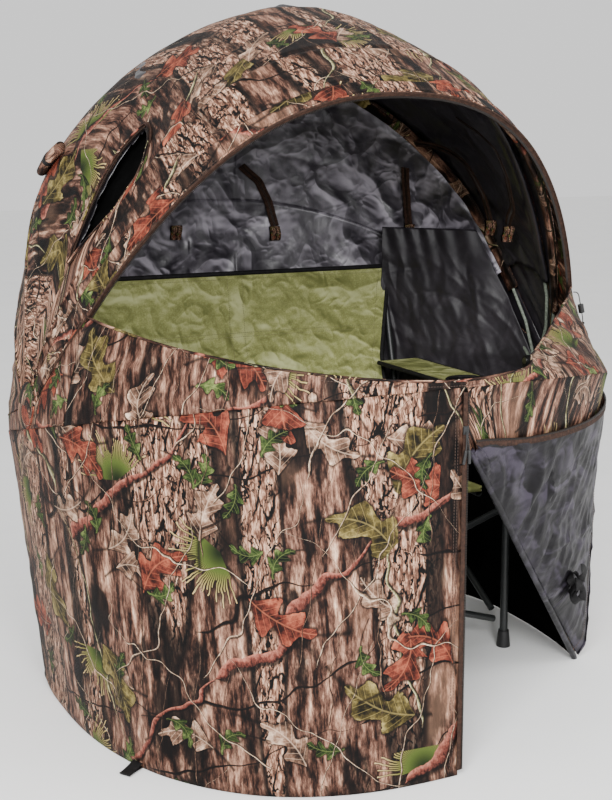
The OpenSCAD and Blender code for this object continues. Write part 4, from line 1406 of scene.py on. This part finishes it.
@dataclass
class SoftTab:
    """A small folded cloth tab that hangs from a point."""

    name: str
    place: Sequence[float]
    finish: Finish
    width: float
    length: float

    def build(self) -> Piece:
        """Makes the tab from a cube that is flattened, bevelled and bent."""
        bpy.ops.object.select_all(action="DESELECT")
        middle = (self.place[0], self.place[1], self.place[2] - self.length / 2)
        bpy.ops.mesh.primitive_cube_add(size=1, location=middle, scale=(self.width, 0.006, self.length))
        made = bpy.context.object
        made.name = self.name
        bpy.ops.object.transform_apply(location=True, rotation=True, scale=True)
        bpy.ops.object.mode_set(mode="EDIT")
        bpy.ops.mesh.subdivide(number_cuts=4)
        bpy.ops.mesh.bevel(offset=0.0012, segments=2, affect="EDGES")
        bpy.ops.uv.smart_project()
        bpy.ops.object.mode_set(mode="OBJECT")
        for v in made.data.vertices:
            v.co.y += 0.004 * math.sin((v.co.z - middle[2]) / self.length * 5 + self.place[0] * 30)
        made.data.materials.append(self.finish.build())
        bpy.ops.object.shade_smooth()
        made.select_set(False)
        return made


# ------------------------------------------------------------------ skirt, yokes and door


@dataclass
class Skirt:
    """The wall below the waist seam, the yokes above it and the turned-out door."""

    slit: float = 0.004
    fold_end: float = -22.4
    door_top: tuple[float, float, float] = (0.004, -0.631, 0.660)
    door_foot: tuple[float, float, float] = (0.568, -0.260, 0.0)
    corner_angle: float = 18.5
    crescent: float = 0.014

    def folds(self, seed: int, points: Array, share: Array) -> Array:
        """Returns the wall's soft upright folds, deeper towards the ground, with puckers under the seam."""
        u, v = grid_lengths(points)
        deep = field_of(seed, u, v, [(0.30, 1.2, 0.010), (0.11, 0.7, 0.0035)])
        cross = field_of(seed + 1, u, v, [(0.40, 0.10, 0.0028)])
        pucker = 0.0022 * np.sin(u / 0.021 + 1.3 * np.sin(u / 0.09)) * np.exp(-((1 - share) * 0.75 / 0.045))
        hem = 0.0030 * np.exp(-((share * 0.75 - 0.022) / 0.010) ** 2)
        hanging = deep * (1 - share) ** 0.8 * smooth_step(share, -0.02, 0.10)
        return hanging + cross * np.sin(np.pi * share) + pucker + hem

    def finish(self, cloth: Cloth, node: str, held: Hold = Hold.HUNG) -> Piece:
        """Builds a wall cloth in place of a node of the frame and returns it."""
        piece = cloth.build()
        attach(piece, Body.ROOT.value)
        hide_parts(node)
        cloth.declare(piece, held)
        return piece

    def wall(self, node: str, start: float, end: float, cols: int, seed: int) -> None:
        """Makes a plain stretch of the wall.

        Args:
            node: The node that it replaces.
            start: Angle of its first edge.
            end: Angle of its last edge.
            cols: Columns of its grid.
            seed: Seed of its folds.
        """
        share, angle = np.meshgrid(np.linspace(0, 1.0, 64), np.linspace(start, end, cols), indexing="ij")
        points = SHELL.wall(angle, share)
        if end == -90:
            points[:, -1, 0] = -self.slit
        # Inner face: the lining painted near black as painted shade.
        cloth = Cloth(node + "_cloth", points, CAMO, SHADE_PAINTED_LINING, offset=(seed * 0.37, 0.0))
        edge = smooth_step(np.minimum(angle - start, end - angle), 0, 6)
        cloth.pushed(self.folds(seed, points, share) * edge)
        cloth.points[..., 2] = np.maximum(cloth.points[..., 2], 0.0005)
        self.finish(cloth, node)

    def fold(self, u: Array) -> Array:
        """Returns points on the door's fold, from the zip at 0 to the ground at 1."""
        t = (u * (1.14 - 0.14 * u))[..., None]
        return np.array(self.door_top) * (1 - t) + np.array(self.door_foot) * t

    def left_wall(self, angle: Array, share: Array) -> Array:
        """Returns points on the left wall, whose foot follows the fold and then the hem."""
        u = np.clip((angle + 90) / (self.fold_end + 90), 0, 1)
        past = np.clip((angle - self.fold_end) / 4, 0, 1)[..., None]
        hem = SHELL.hem(angle)
        foot = np.where((angle < self.fold_end)[..., None], self.fold(u),
                        np.array(self.door_foot) * (1 - past) + hem * past)
        head = SHELL.waist(angle)
        head[..., 0] = np.where(angle <= -90, self.slit, head[..., 0])
        return foot + (head - foot) * share[..., None]

    def left(self) -> None:
        """Makes the left wall."""
        angle = np.concatenate([np.linspace(-90, self.fold_end, 84), np.linspace(self.fold_end, 20, 54)[1:]])
        share, grid = np.meshgrid(np.linspace(0, 1.0, 60), angle, indexing="ij")
        points = self.left_wall(grid, share)
        # Inner face: the lining painted near black as painted shade.
        cloth = Cloth("skirt_left_cloth", points, CAMO, SHADE_PAINTED_LINING, offset=(0.02, 0.0))
        cloth.pushed(
            self.folds(31, points, share) * smooth_step(grid, -86, -20) * smooth_step(20 - grid, 0, 6))
        self.finish(cloth, "skirt_left")

    def door(self) -> None:
        """Makes the turned-out corner, its zip edge, stitches and tie."""
        out = np.array([0.5469, -0.8372, 0.0])
        share_u = np.linspace(0.02, 1, 90)
        share_w = np.linspace(0.015, 1, 60)
        w, u = np.meshgrid(share_w, share_u, indexing="ij")
        angle = -90 + (self.fold_end + 90) * u
        foot, head = self.left_wall(angle, np.zeros_like(u)), self.left_wall(angle, np.ones_like(u))
        top_z = 0.660 - 0.012 * smooth_step(u, 0.0, 0.25) - 0.012 * np.sin(np.pi * u)
        top = np.clip((top_z - foot[..., 2]) / (head[..., 2] - foot[..., 2]), 0, 1)
        points = self.left_wall(angle, w * top) + out * (0.009 * np.minimum(1, 0.35 + 3 * w))[..., None]
        spread = 0.030 * (1 - w) ** 1.5 * smooth_step(u, 0.55, 1.0)
        points += np.array([0.75, -0.10, 0.0]) * (spread * smooth_step(w * top, 0.0, 0.06))[..., None]
        cloth = Cloth("door_flap_cloth", points, DOOR_LINING, CAMO, away=(0.0, -0.1, 0.4))
        du, dv = grid_lengths(points)
        folds = field_of(51, du, dv, [(0.20, 0.6, 0.016), (0.07, 0.26, 0.008), (0.03, 0.12, 0.003)])
        folds = np.abs(folds) + np.abs(creases(57, dv, du, 44, 0.007, 0.010))
        cloth.pushed(folds * np.sin(np.pi * np.clip(w, 0, 1)) ** 0.6 + 0.002)
        piece = cloth.build()
        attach(piece, Body.DOOR.value)
        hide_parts("door_flap")
        cloth.declare(piece, Hold.FOLDED)
        edge = cloth.points[-1] + out * 0.001
        down = np.tile([0.0, 0.0, 1.0], (len(edge), 1))
        band = tape("door_flap_zip_tape", edge, down, 0.013, 0.0018, ZIP_TAPE)
        at, along = spaced(edge + np.array([0, 0, 0.007]), 0.0032)
        teeth = beads(
            "door_flap_zip_teeth", at, along, np.tile(out, (len(at), 1)), (0.0018, 0.005, 0.003), TEETH)
        hem = cloth.points[:, -1] + out * 0.001
        hem_in = cloth.points[:, -5] + out * 0.0015
        at, along = spaced(hem_in, 0.006)
        stitch = beads(
            "door_hem_stitch", at, along, np.tile(out, (len(at), 1)), (0.004, 0.0012, 0.001), DARK_THREAD)
        binding = swept("door_hem_edge", hem, np.tile(out, (len(hem), 1)), (0.0022, 0.0022), DOOR_LINING, 8)
        tie = self.tie(cloth.points)
        line = self.fold(np.linspace(0.02, 1.0, 60)) + out * 0.002
        roll = swept("door_fold_roll", line, np.tile(out, (60, 1)), (0.0065, 0.0075), DOOR_LINING, 10)
        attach(roll, Body.ROOT.value)
        for part in (band, teeth, stitch, binding, tie):
            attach(part, Body.DOOR.value)
        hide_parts("door_tether")

    def tie(self, points: Array) -> Piece:
        """Makes the crumpled black tie by the door's fold."""
        t = np.linspace(0, 1, 160)
        out = np.array([0.5469, -0.8372, 0.0])
        swing = np.array([0.8372, 0.5469, 0.0])
        middle = points[9, 66] + out * 0.020
        curl = 0.019 * (1 - 0.35 * t)
        path = (middle + swing * (curl * np.sin(t * 27))[:, None] + out * (0.011 * np.sin(t * 17 + 1))[:, None]
                + np.array([0, 0, 1.0]) * (0.030 - 0.060 * t + 0.014 * np.cos(t * 27))[:, None])
        across = swing * np.cos(t * 9)[:, None] + out * (0.6 * np.sin(t * 9))[:, None] + np.array([0, 0, 0.4])
        return tape("door_tie", path, across, 0.020, 0.0016, WEBBING)

    def zip_edge(self) -> None:
        """Dresses the right wall's free edge with zip tape, teeth and two rows of stitches."""
        z = np.linspace(0.012, 0.762, 120)
        path = np.stack([np.full_like(z, -0.007), np.full_like(z, -0.6333), z], 1)
        across = np.tile([1.0, 0, 0], (len(z), 1))
        band = tape("door_zip_tape_cloth", path + np.array([0.004, 0, 0]), across, 0.010, 0.0016, ZIP_TAPE)
        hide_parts("door_zip_tape")
        at, along = spaced(path + np.array([0.0105, 0, 0]), 0.0032)
        front = np.tile([0.0, -1.0, 0.0], (len(at), 1))
        teeth = beads("door_zip_teeth", at, along, front, (0.0018, 0.005, 0.003), TEETH)
        rows = []
        for number, x in enumerate((-0.019, -0.025)):
            at, along = spaced(path + np.array([x + 0.007, -0.0012, 0]), 0.006)
            front = np.tile([0.0, -1.0, 0.0], (len(at), 1))
            rows.append(
                beads(f"door_edge_stitch_{number}", at, along, front, (0.004, 0.0011, 0.001), DARK_THREAD))
        for part in (band, teeth, *rows):
            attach(part, Body.ROOT.value)

    def yokes(self) -> None:
        """Makes the crescent at the front, the side yokes up to the rim's corners and the pivot patches."""
        angle = np.linspace(-90 - (90 - self.corner_angle), -self.corner_angle, 200)
        waist = SHELL.waist(angle)
        far = np.abs(angle + 90) / (90 - self.corner_angle)
        peak = 0.883 - float(SHELL.waist_z(np.array(-0.182)))
        height = self.crescent + (peak - self.crescent) * far**1.55
        t = np.linspace(0, 1, 26)[:, None]
        points = SHELL.around(np.broadcast_to(angle, (26, 200)), waist[:, 2] + 0.0003 + (height - 0.0003) * t)
        tight = smooth_step(angle, -84.0, -70.0)[:, None]
        chord = (angle + 80.0)[:, None] / (80.0 - self.corner_angle)
        first = points[-1, int(np.argmin(np.abs(angle + 80.0)))]
        straight = first + (points[-1, -1] - first) * np.clip(chord, 0, 1)
        pull = (straight - points[-1]) * tight * 0.92
        points = points + pull[None] * t[..., None] ** 1.3
        cloth = Cloth("front_yoke_cloth", points, CAMO, LINING, offset=(1.7, 0.77))
        u, v = grid_lengths(points)
        share = np.broadcast_to(t, u.shape)
        pucker = 0.0020 * np.sin(u / 0.023) * np.exp(-(share * height / 0.04))
        loose = field_of(71, u, v, [(0.22, 0.16, 0.008), (0.08, 0.06, 0.003)])
        cloth.pushed(pucker + loose * smooth_step(share, 0, 0.5) * np.minimum(1, height / 0.1))
        self.finish(cloth, "front_yoke", Hold.STRETCHED)
        self.yoke_edge(cloth.points[-1])
        for side, name in ((1, "left"), (-1, "right")):
            self.side_yoke(side, name)

    def yoke_edge(self, edge: Array) -> None:
        """Turns a narrow hem on the front yoke's upper edge, with a row of stitches."""
        out = edge - np.array([0.0, 0.05, 0.8])
        out[:, 2] = 0
        out /= np.linalg.norm(out, axis=1, keepdims=True)
        roll = swept("front_yoke_hem", edge, out, (0.0026, 0.0026), CAMO, 8)
        at, along = spaced(edge - np.array([0, 0, 0.010]), 0.006)
        outward = at - np.array([0.0, 0.05, 0.0])
        outward[:, 2] = 0
        outward /= np.linalg.norm(outward, axis=1, keepdims=True)
        row = beads(
            "front_yoke_stitch", at + outward * 0.001, along, outward, (0.004, 0.0011, 0.001), DARK_THREAD)
        for part in (roll, row):
            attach(part, Body.ROOT.value)

    def side_yoke(self, side: int, name: str) -> None:
        """Makes one side yoke and its pivot patch.

        Args:
            side: 1 for the sitter's left, -1 for the right.
            name: "left" or "right".
        """
        gap = SHELL.hub_gap
        slope = 1 / math.tan(math.radians(107))
        y = np.concatenate([np.linspace(-0.179, -gap - 0.002, 26), np.linspace(-gap, gap, 26),
                            np.linspace(gap + 0.004, 0.48, 60)])
        ramp_z = 0.883 + (SHELL.hub_z - 0.883) * (y + 0.182) / (-gap + 0.182)
        round_z = SHELL.hub_z - np.sqrt(np.maximum(0, gap * gap - y * y))
        top = np.where(
            y < -gap, ramp_z,
            np.where(y < gap * math.sin(math.radians(107)), round_z, SHELL.hub_z + y * slope))
        low = SHELL.waist_z(y) + 0.0003
        t = np.linspace(0, 1, 12)[:, None]
        z = low + (top - 0.0015 - low) * t
        grid_y = np.broadcast_to(y, z.shape)
        points = np.stack([side * SHELL.skin_x(grid_y, z), grid_y, z], -1)
        for label, part in (("front", points[:, :40]), ("rear", points[:, 39:])):
            cloth = Cloth(f"side_yoke_{name}_{label}", part.copy(), CAMO, LINING, offset=(2.3 + side, 0.77))
            piece = cloth.build()
            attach(piece, Body.ROOT.value)
            cloth.declare(piece, Hold.STRETCHED)
            if label == "front":
                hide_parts(f"side_yoke_{name}")
        (radius, turn) = np.meshgrid(
            np.linspace(0.0008, 0.05, 10), np.linspace(0, math.tau, 49), indexing="ij")
        py, pz = SHELL.hub_y + radius * np.cos(turn), SHELL.hub_z + radius * np.sin(turn)
        patch = Cloth(
            f"hub_patch_{name}_cloth", np.stack([side * (SHELL.skin_x(py, pz) + 0.0016), py, pz], -1), CAMO,
            LINING, offset=(3.1, 0.2 * side), thickness=0.0012)
        self.finish(patch, f"hub_patch_{name}", Hold.STRETCHED)

    def build(self) -> None:
        """Builds the walls, the yokes and the door."""
        self.wall("skirt_right", -200, -90, 170, 21)
        self.wall("skirt_rear", 20.0, 160.0, 170, 25)
        self.left()
        self.yokes()
        self.zip_edge()
        self.door()


# ------------------------------------------------------------------ inside walls and chair


@dataclass
class Curtains:
    """The black walls that hang behind the armrests from the window line."""

    top_z: float = 0.995
    low_z: float = 0.520

    def build(self) -> None:
        """Makes the left and right curtains with pleats gathered under their top edge."""
        for side, name in ((1, "left"), (-1, "right")):
            share, t = np.meshgrid(np.linspace(0, 1, 80), np.linspace(0, 1, 120), indexing="ij")
            z = self.low_z + (self.top_z - self.low_z) * share
            far_y = 0.015 + np.maximum(0, z - SHELL.hub_z) * math.tan(math.radians(LEANS[Body.TOP_BOW]))
            far_x = SHELL.skin_x(far_y, z) - 0.035
            x = 0.405 + (far_x - 0.405) * t - 0.02 * np.sin(np.pi * t)
            y = 0.395 + (far_y - 0.395) * t + 0.04 * np.sin(np.pi * t)
            points = np.stack([side * np.minimum(x, SHELL.skin_x(y, z) - 0.03), y, z], -1)
            cloth = Cloth(f"curtain_{name}_lining", points, CURTAIN_LINING, CURTAIN_LINING, thickness=0.0008)
            u, v = grid_lengths(points)
            near_top = np.exp(-((1 - share) * 0.47 / 0.07))
            pleat = 0.0045 * np.sin(u / 0.0085 + 1.5 * np.sin(u / 0.05)) * near_top
            seam = -0.004 * np.exp(-((u + 0.13) / 0.004) ** 2)
            drape = field_of(90 + side, u, v, [(0.13, 0.6, 0.012), (0.06, 0.25, 0.004), (0.03, 0.10, 0.0015)])
            drape += creases(95 + side, u, v, 40, 0.005, 0.010)
            cloth.pushed(pleat + seam + drape * smooth_step(1 - share, 0.0, 0.35))
            piece = cloth.build()
            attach(piece, Body.ROOT.value)
            cloth.declare(piece, Hold.GATHERED)


@dataclass
class Chair:
    """The folding armchair: tubes as packed, canvas seat, back and armrests, mesh cup holders."""

    half_back: float = 0.430
    back_top: float = 0.890
    back_low: float = 0.556
    cup_x: float = 0.400
    cup_y: float = -0.030
    cup_r: float = 0.0445

    def back_width(self, z: Array) -> Array:
        """Returns the backrest's half width, drawn in above the armrests and narrower below them."""
        return self.half_back - 0.052 * np.clip((self.back_top - z) / 0.230, 0, 1)

    def back_y(self, z: Array) -> Array:
        """Returns the backrest's place from front to rear at a height."""
        return 0.304 + (0.412 - 0.304) * (z - 0.430) / (0.864 - 0.430) - 0.014

    def backrest(self) -> None:
        """Makes the backrest canvas with its creases, binding and stitch lines."""
        share, t = np.meshgrid(np.linspace(0, 1, 70), np.linspace(-1, 1, 170), indexing="ij")
        z = self.back_low + (self.back_top - self.back_low) * share
        x = t * self.back_width(z)
        y = self.back_y(z) + 0.018 * (1 - t**2) * np.sin(np.pi * share) ** 2 - 0.003
        points = np.stack([x, y, z], -1)
        cloth = Cloth("backrest_canvas", points, CANVAS, CANVAS, away=(0, 1.5, 0.7), thickness=0.003)
        u, v = grid_lengths(points)
        crease = field_of(101, u, v, [(0.24, 0.16, 0.0085), (0.10, 0.07, 0.0050), (0.045, 0.035, 0.0018)])
        held = smooth_step(1 - np.abs(t), 0, 0.07)
        held = held * smooth_step(np.minimum(share, (1 - share) * 0.7), 0, 0.14)
        line = 0.002 * np.exp(-((share - 0.52) * 0.334 / 0.004) ** 2)
        cloth.pushed((crease + creases(103, u, v, 70, 0.0060, 0.012)) * held - line)
        piece = cloth.build()
        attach(piece, Body.ROOT.value)
        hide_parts("back_sling")
        cloth.declare(piece, Hold.STRETCHED)
        p = cloth.points
        border = np.concatenate([p[0, :, :], p[1:, -1], p[-1, ::-1][1:], p[::-1, 0][1:]])
        binding = swept(
            "backrest_binding", border, np.tile([0.0, 1.0, 0.0], (len(border), 1)), (0.0045, 0.006), BINDING,
            10)
        rows = {
            "top": p[-4], "middle_a": p[36], "middle_b": p[38], "left": p[:, -7],
            "centre_a": p[:, 76], "centre_b": p[:, 84], "right": p[:, 6], "low": p[3],
        }
        parts = [binding]
        for name, path in rows.items():
            at, along = spaced(path[2:-2], 0.0055)
            toward = np.tile([0.0, -1.0, 0.0], (len(at), 1))
            parts.append(beads(f"backrest_stitch_{name}", at + toward * 0.0006, along, toward,
                               (0.0038, 0.0012, 0.0010), THREAD))
        for part in parts:
            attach(part, Body.ROOT.value)

    def seat(self) -> None:
        """Makes the padded seat, crowned and drawn in between its corners."""
        low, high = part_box("seat_sling")
        t, s = np.meshgrid(np.linspace(-1, 1, 90), np.linspace(-1, 1, 120), indexing="ij")
        edge = np.clip((1 - np.abs(t)) * (1 - np.abs(s)) * 6, 0, 1) ** 0.5
        x = s * (high[0] - 0.006 * np.cos(np.pi * t / 2))
        y = (low[1] + high[1]) / 2 + t * ((high[1] - low[1]) / 2 - 0.006 * np.cos(np.pi * s / 2))
        z = high[2] + 0.004 + 0.010 * edge - 0.016 * (1 - s**2) * (1 - t**2)
        points = np.stack([x, y, z], -1)
        channel = 0.005 * (np.exp(-((s - 0.33) / 0.02) ** 2) + np.exp(-((s + 0.33) / 0.02) ** 2))
        points[..., 2] -= channel * edge
        cloth = Cloth("seat_pad", points, CANVAS, CANVAS, away=(0, 0.1, -1), thickness=0.014)
        piece = cloth.build()
        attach(piece, Body.ROOT.value)
        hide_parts("seat_sling")

    def armrest(self, side: int, name: str) -> None:
        """Makes one armrest strip with the round hole for its cup holder and its black binding.

        Args:
            side: 1 for the sitter's left, -1 for the right.
            name: "left" or "right".
        """
        low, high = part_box(f"armrest_{name}")
        middle = [(a + b) / 2 for a, b in zip(low, high)]
        bpy.ops.object.select_all(action="DESELECT")
        bpy.ops.mesh.primitive_cube_add(size=1, location=middle, scale=[b - a for a, b in zip(low, high)])
        pad = bpy.context.object
        pad.name = f"armrest_{name}_pad"
        bpy.ops.object.transform_apply(location=True, rotation=True, scale=True)
        bpy.ops.mesh.primitive_cylinder_add(vertices=64, radius=self.cup_r + 0.004, depth=0.1,
                                            location=(side * self.cup_x, self.cup_y, middle[2]))
        hole = bpy.context.object
        cut = pad.modifiers.new("hole", "BOOLEAN")
        cut.operation, cut.object, cut.solver = "DIFFERENCE", hole, "EXACT"
        soft = pad.modifiers.new("edge", "BEVEL")
        soft.width, soft.segments, soft.limit_method = 0.0032, 3, "ANGLE"
        apply_modifiers(pad)
        bpy.data.objects.remove(hole)
        pad.data.materials.append(CANVAS.build())
        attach(pad, Body.ROOT.value)
        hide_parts(f"armrest_{name}")
        parts = []
        outer, inner_x = (high[0], low[0]) if side > 0 else (low[0], high[0])
        for label, x in (("outer", outer), ("inner", inner_x)):
            y = np.linspace(low[1] + 0.002, high[1] - 0.002, 60)
            path = np.stack([np.full_like(y, x), y, np.full_like(y, middle[2])], 1)
            parts.append(swept(f"armrest_{name}_binding_{label}", path, np.tile([1.0, 0, 0], (60, 1)),
                               (0.0045, 0.0058), BINDING, 10))
            inner = path[1:-1] + np.array([(-1 if x > middle[0] else 1) * 0.010, 0, 0.0050])
            at, along = spaced(inner, 0.0055)
            parts.append(
                beads(
                    f"armrest_{name}_stitch_{label}", at, along, np.tile([0.0, 0, 1.0], (len(at), 1)),
                    (0.0038, 0.0011, 0.001), THREAD))
        for part in parts:
            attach(part, Body.ROOT.value)
        self.cup_rim(side, name, float(high[2]))

    def cup_rim(self, side: int, name: str, z: float) -> None:
        """Sews a bound rim round a cup holder's mouth."""
        bpy.ops.object.select_all(action="DESELECT")
        bpy.ops.mesh.primitive_torus_add(
            location=(side * self.cup_x, self.cup_y, z + 0.001), major_segments=64, minor_segments=10,
            major_radius=self.cup_r + 0.003, minor_radius=0.0042)
        rim = bpy.context.object
        rim.name = f"cup_rim_{name}"
        bpy.ops.object.transform_apply(location=True, rotation=True, scale=True)
        bpy.ops.object.shade_smooth()
        rim.data.materials.append(BINDING.build())
        rim.select_set(False)
        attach(rim, Body.ROOT.value)

    def build(self) -> None:
        """Builds the chair's cloths."""
        self.backrest()
        self.seat()
        for side, name in ((1, "left"), (-1, "right")):
            self.armrest(side, name)


# ------------------------------------------------------------------ fittings


@dataclass
class Fittings:
    """Zip slider with its pulls, draw cord with its lock, and the stake loops."""

    def slider(self) -> None:
        """Makes the zip slider and its two cord pulls."""
        low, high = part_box("zip_slider")
        bpy.ops.object.select_all(action="DESELECT")
        top = high[2]
        bpy.ops.mesh.primitive_cube_add(
            size=1, location=(-0.003, low[1] + 0.0038, top - 0.008), scale=(0.012, 0.0034, 0.016))
        shell = bpy.context.object
        shell.name = "zip_slider_shell"
        bpy.ops.object.transform_apply(location=True, rotation=True, scale=True)
        bpy.ops.object.mode_set(mode="EDIT")
        bpy.ops.mesh.select_all(action="SELECT")
        bpy.ops.mesh.bevel(offset=0.0012, segments=3, affect="EDGES")
        bpy.ops.object.mode_set(mode="OBJECT")
        shell.data.materials.append(PLASTIC.build())
        shell.select_set(False)
        parts = [shell]
        for number, swing in enumerate((-0.006, 0.007)):
            t = np.linspace(0, 1, 30)
            path = np.stack(
                [-0.003 + swing * t, low[1] + 0.001 - 0.004 * np.sin(np.pi * t), top - 0.012 - 0.06 * t], 1)
            parts.append(
                swept(
                    f"zip_pull_cord_{number}", path, np.tile([1.0, 0, 0], (30, 1)), (0.0014, 0.0014), ELASTIC,
                    8))
            parts.append(
                swept(
                    f"zip_pull_grip_{number}", path[16:], np.tile([1.0, 0, 0], (14, 1)), (0.0032, 0.0024),
                    PLASTIC, 10))
        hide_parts("zip_slider")
        for part in parts:
            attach(part, Body.SLIDER.value)

    def draw_cord(self) -> None:
        """Lays the draw cord out of the left rim corner, through its lock to its knot."""
        start = np.array([float(SHELL.skin_x(np.array(-0.182), np.array(0.871))) + 0.009, -0.182, 0.871])
        route = np.array([
            (-6, 0, 0), (0, 0, 0), (5, 0, -2), (9, 0, -6), (11, 0, -12), (13, 0, -20), (15, 0, -28), (17, 0, -36),
            (19, 0, -44), (21, 0, -52), (23, 0, -60), (24, 0, -68), (25, 0, -76)]) * MM
        curve = bpy.data.curves.new("draw_cord_line", "CURVE")
        curve.dimensions = "3D"
        line = curve.splines.new("NURBS")
        line.points.add(len(route) - 1)
        for point, place in zip(line.points, start + route):
            point.co = (*place, 1)
        line.use_endpoint_u = True
        line.order_u = 3
        curve.bevel_depth = 0.00125
        curve.bevel_resolution = 3
        cord = bpy.data.objects.new("draw_cord_line", curve)
        bpy.context.collection.objects.link(cord)
        curve.materials.append(ELASTIC.build())
        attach(cord, Body.ROOT.value)
        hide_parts("draw_cord")
        bpy.ops.object.select_all(action="DESELECT")
        bpy.ops.mesh.primitive_ico_sphere_add(subdivisions=3, radius=0.0034, location=start + route[-1])
        knot = bpy.context.object
        knot.name = "draw_cord_knot"
        bpy.ops.object.transform_apply(location=True, rotation=True, scale=True)
        for v in knot.data.vertices:
            d = v.co - Vector(start + route[-1])
            v.co += d * 0.22 * math.sin(math.atan2(d.x, d.z) * 3 + d.y * 900)
        knot.data.materials.append(ELASTIC.build())
        bpy.ops.object.shade_smooth()
        knot.select_set(False)
        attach(knot, Body.ROOT.value)

    def stake_loops(self) -> None:
        """Makes the folded webbing loops at the hem, each round its grommet."""
        first = True
        for number, angle in enumerate((-152.0, -16.0, 35.0, 145.0)):
            foot = SHELL.hem(np.array(angle))
            heading = math.atan2(foot[1] - SHELL.mid_y, foot[0])
            out = np.array([math.cos(heading), math.sin(heading), 0.0])
            side = np.array([-out[1], out[0], 0.0])
            t = np.linspace(0, 1, 36)
            reach = np.where(t < 0.5, t * 2, 2 - t * 2)
            bow = 0.0016 * np.sin(np.pi * t * 2)
            path = foot + out * (0.001 + 0.045 * np.sin(np.pi / 2 * reach))[:, None]
            lift = np.where(t < 0.5, -1, 1) * 0.0013 + 0.006 * (1 - reach) ** 2 * (t > 0.5)
            path[:, 2] = 0.0034 + lift + bow
            loop = tape(f"stake_loop_{number}", path, np.tile(side, (36, 1)), 0.025, 0.0012, WEBBING)
            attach(loop, Body.ROOT.value)
            if first:
                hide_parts("stake_loops")
                first = False

    def build(self) -> None:
        """Builds the fittings."""
        self.slider()
        self.draw_cord()
        self.stake_loops()


FRAME_NODES: dict[str, Piece] = {}
NODE_FINISHES = (
    (
        (
            "leg_", "arm_tube", "seat_rail", "back_upright", "back_top", "front_brace", "rear_brace",
            "side_brace"),
        TUBE),
    (("foot_caps", "hub_bracket", "cord_lock"), PLASTIC),
    (("frame_rivets", "hub_pins", "stake_grommets"), STEEL), (("cup_holder",), MESH_CLOTH),
    (("rear_bow_eyes", "top_bow_eyes", "second_bow_eyes", "rim_bow_eyes"), ALUMINIUM),
    (("rear_bow", "top_bow", "second_bow", "rim_bow", "waist_hoop"), ROD))


def dress_frame() -> None:
    """Gives each node of the frame that stays in view its finish."""
    done: set[str] = set()
    for starts, finish in NODE_FINISHES:
        for name, node in FRAME_NODES.items():
            if name in done or not name.startswith(starts):
                continue
            done.add(name)
            if not node.material_slots:
                node.data.materials.append(finish.build())
            for place in node.material_slots:
                place.material = finish.build()


# ------------------------------------------------------------------ studio


@dataclass
class Studio:
    """The camera, the lights and the pale floor."""

    eye: tuple[float, float, float] = (-1.3383, -2.6392, 1.2271)
    turn: float = -26.566
    tilt: float = 9.2513
    lens: float = 1310.54 * 36 / 800
    rise: float = -0.06

    def camera(self) -> None:
        """Places the camera and makes it the scene's."""
        data = bpy.data.cameras.new("camera")
        data.lens = self.lens
        data.sensor_width = 36
        data.shift_y = self.rise
        data.clip_end = 60
        made = bpy.data.objects.new("camera", data)
        made.location = self.eye
        made.rotation_euler = (math.radians(90 - self.tilt), 0, math.radians(self.turn))
        bpy.context.collection.objects.link(made)
        bpy.context.scene.camera = made

    def light(self, name: str, place: Sequence[float], aim: Sequence[float], size: float, power: float) -> None:
        """Adds a square soft light.

        Args:
            name: The light's name.
            place: Where it stands.
            aim: The point that it faces.
            size: Its side in metres.
            power: Its power in watts.
        """
        data = bpy.data.lights.new(name, "AREA")
        data.size = size
        data.energy = power
        made = bpy.data.objects.new(name, data)
        made.location = place
        made.rotation_euler = (Vector(aim) - Vector(place)).to_track_quat("-Z", "Y").to_euler()
        bpy.context.collection.objects.link(made)

    def floor(self) -> None:
        """Lays a wide pale floor."""
        bpy.ops.object.select_all(action="DESELECT")
        bpy.ops.mesh.primitive_plane_add(size=40, location=(0, 0, -0.001))
        floor = bpy.context.object
        floor.name = "floor"
        floor.data.materials.append(
            Finish("matt white floor", ("#f2f2f1", "#f5f5f4", "#f8f8f7"), 0.9, grain=3).build())
        floor.select_set(False)

    def build(self) -> None:
        """Builds the studio."""
        world = bpy.data.worlds.new("studio")
        world.use_nodes = True
        world.node_tree.nodes["Background"].inputs[0].default_value = (1, 1, 1, 1)
        world.node_tree.nodes["Background"].inputs[1].default_value = 1.05
        bpy.context.scene.world = world
        self.camera()
        self.light("key", (-2.4, -3.0, 3.0), (0, 0, 0.7), 1.5, 210)
        self.light("fill", (3.0, -2.6, 2.0), (0, 0, 0.7), 2.0, 70)
        self.light("front", (-0.9, -3.4, 1.9), (-0.1, 0.5, 1.0), 0.8, 90)
        self.floor()


def main() -> None:
    """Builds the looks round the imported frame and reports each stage."""
    logging.basicConfig(level=logging.INFO, format="%(name)s: %(message)s")
    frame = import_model()
    FRAME_NODES.update(frame["nodes"])
    bpy.ops.object.select_all(action="DESELECT")
    dress_frame()
    for part in (Studio(), Fittings(), Hood(), Skirt(), Curtains(), Chair()):
        part.build()
        LOG.info("built %s", type(part).__name__)


if __name__ == "__main__":
    main()
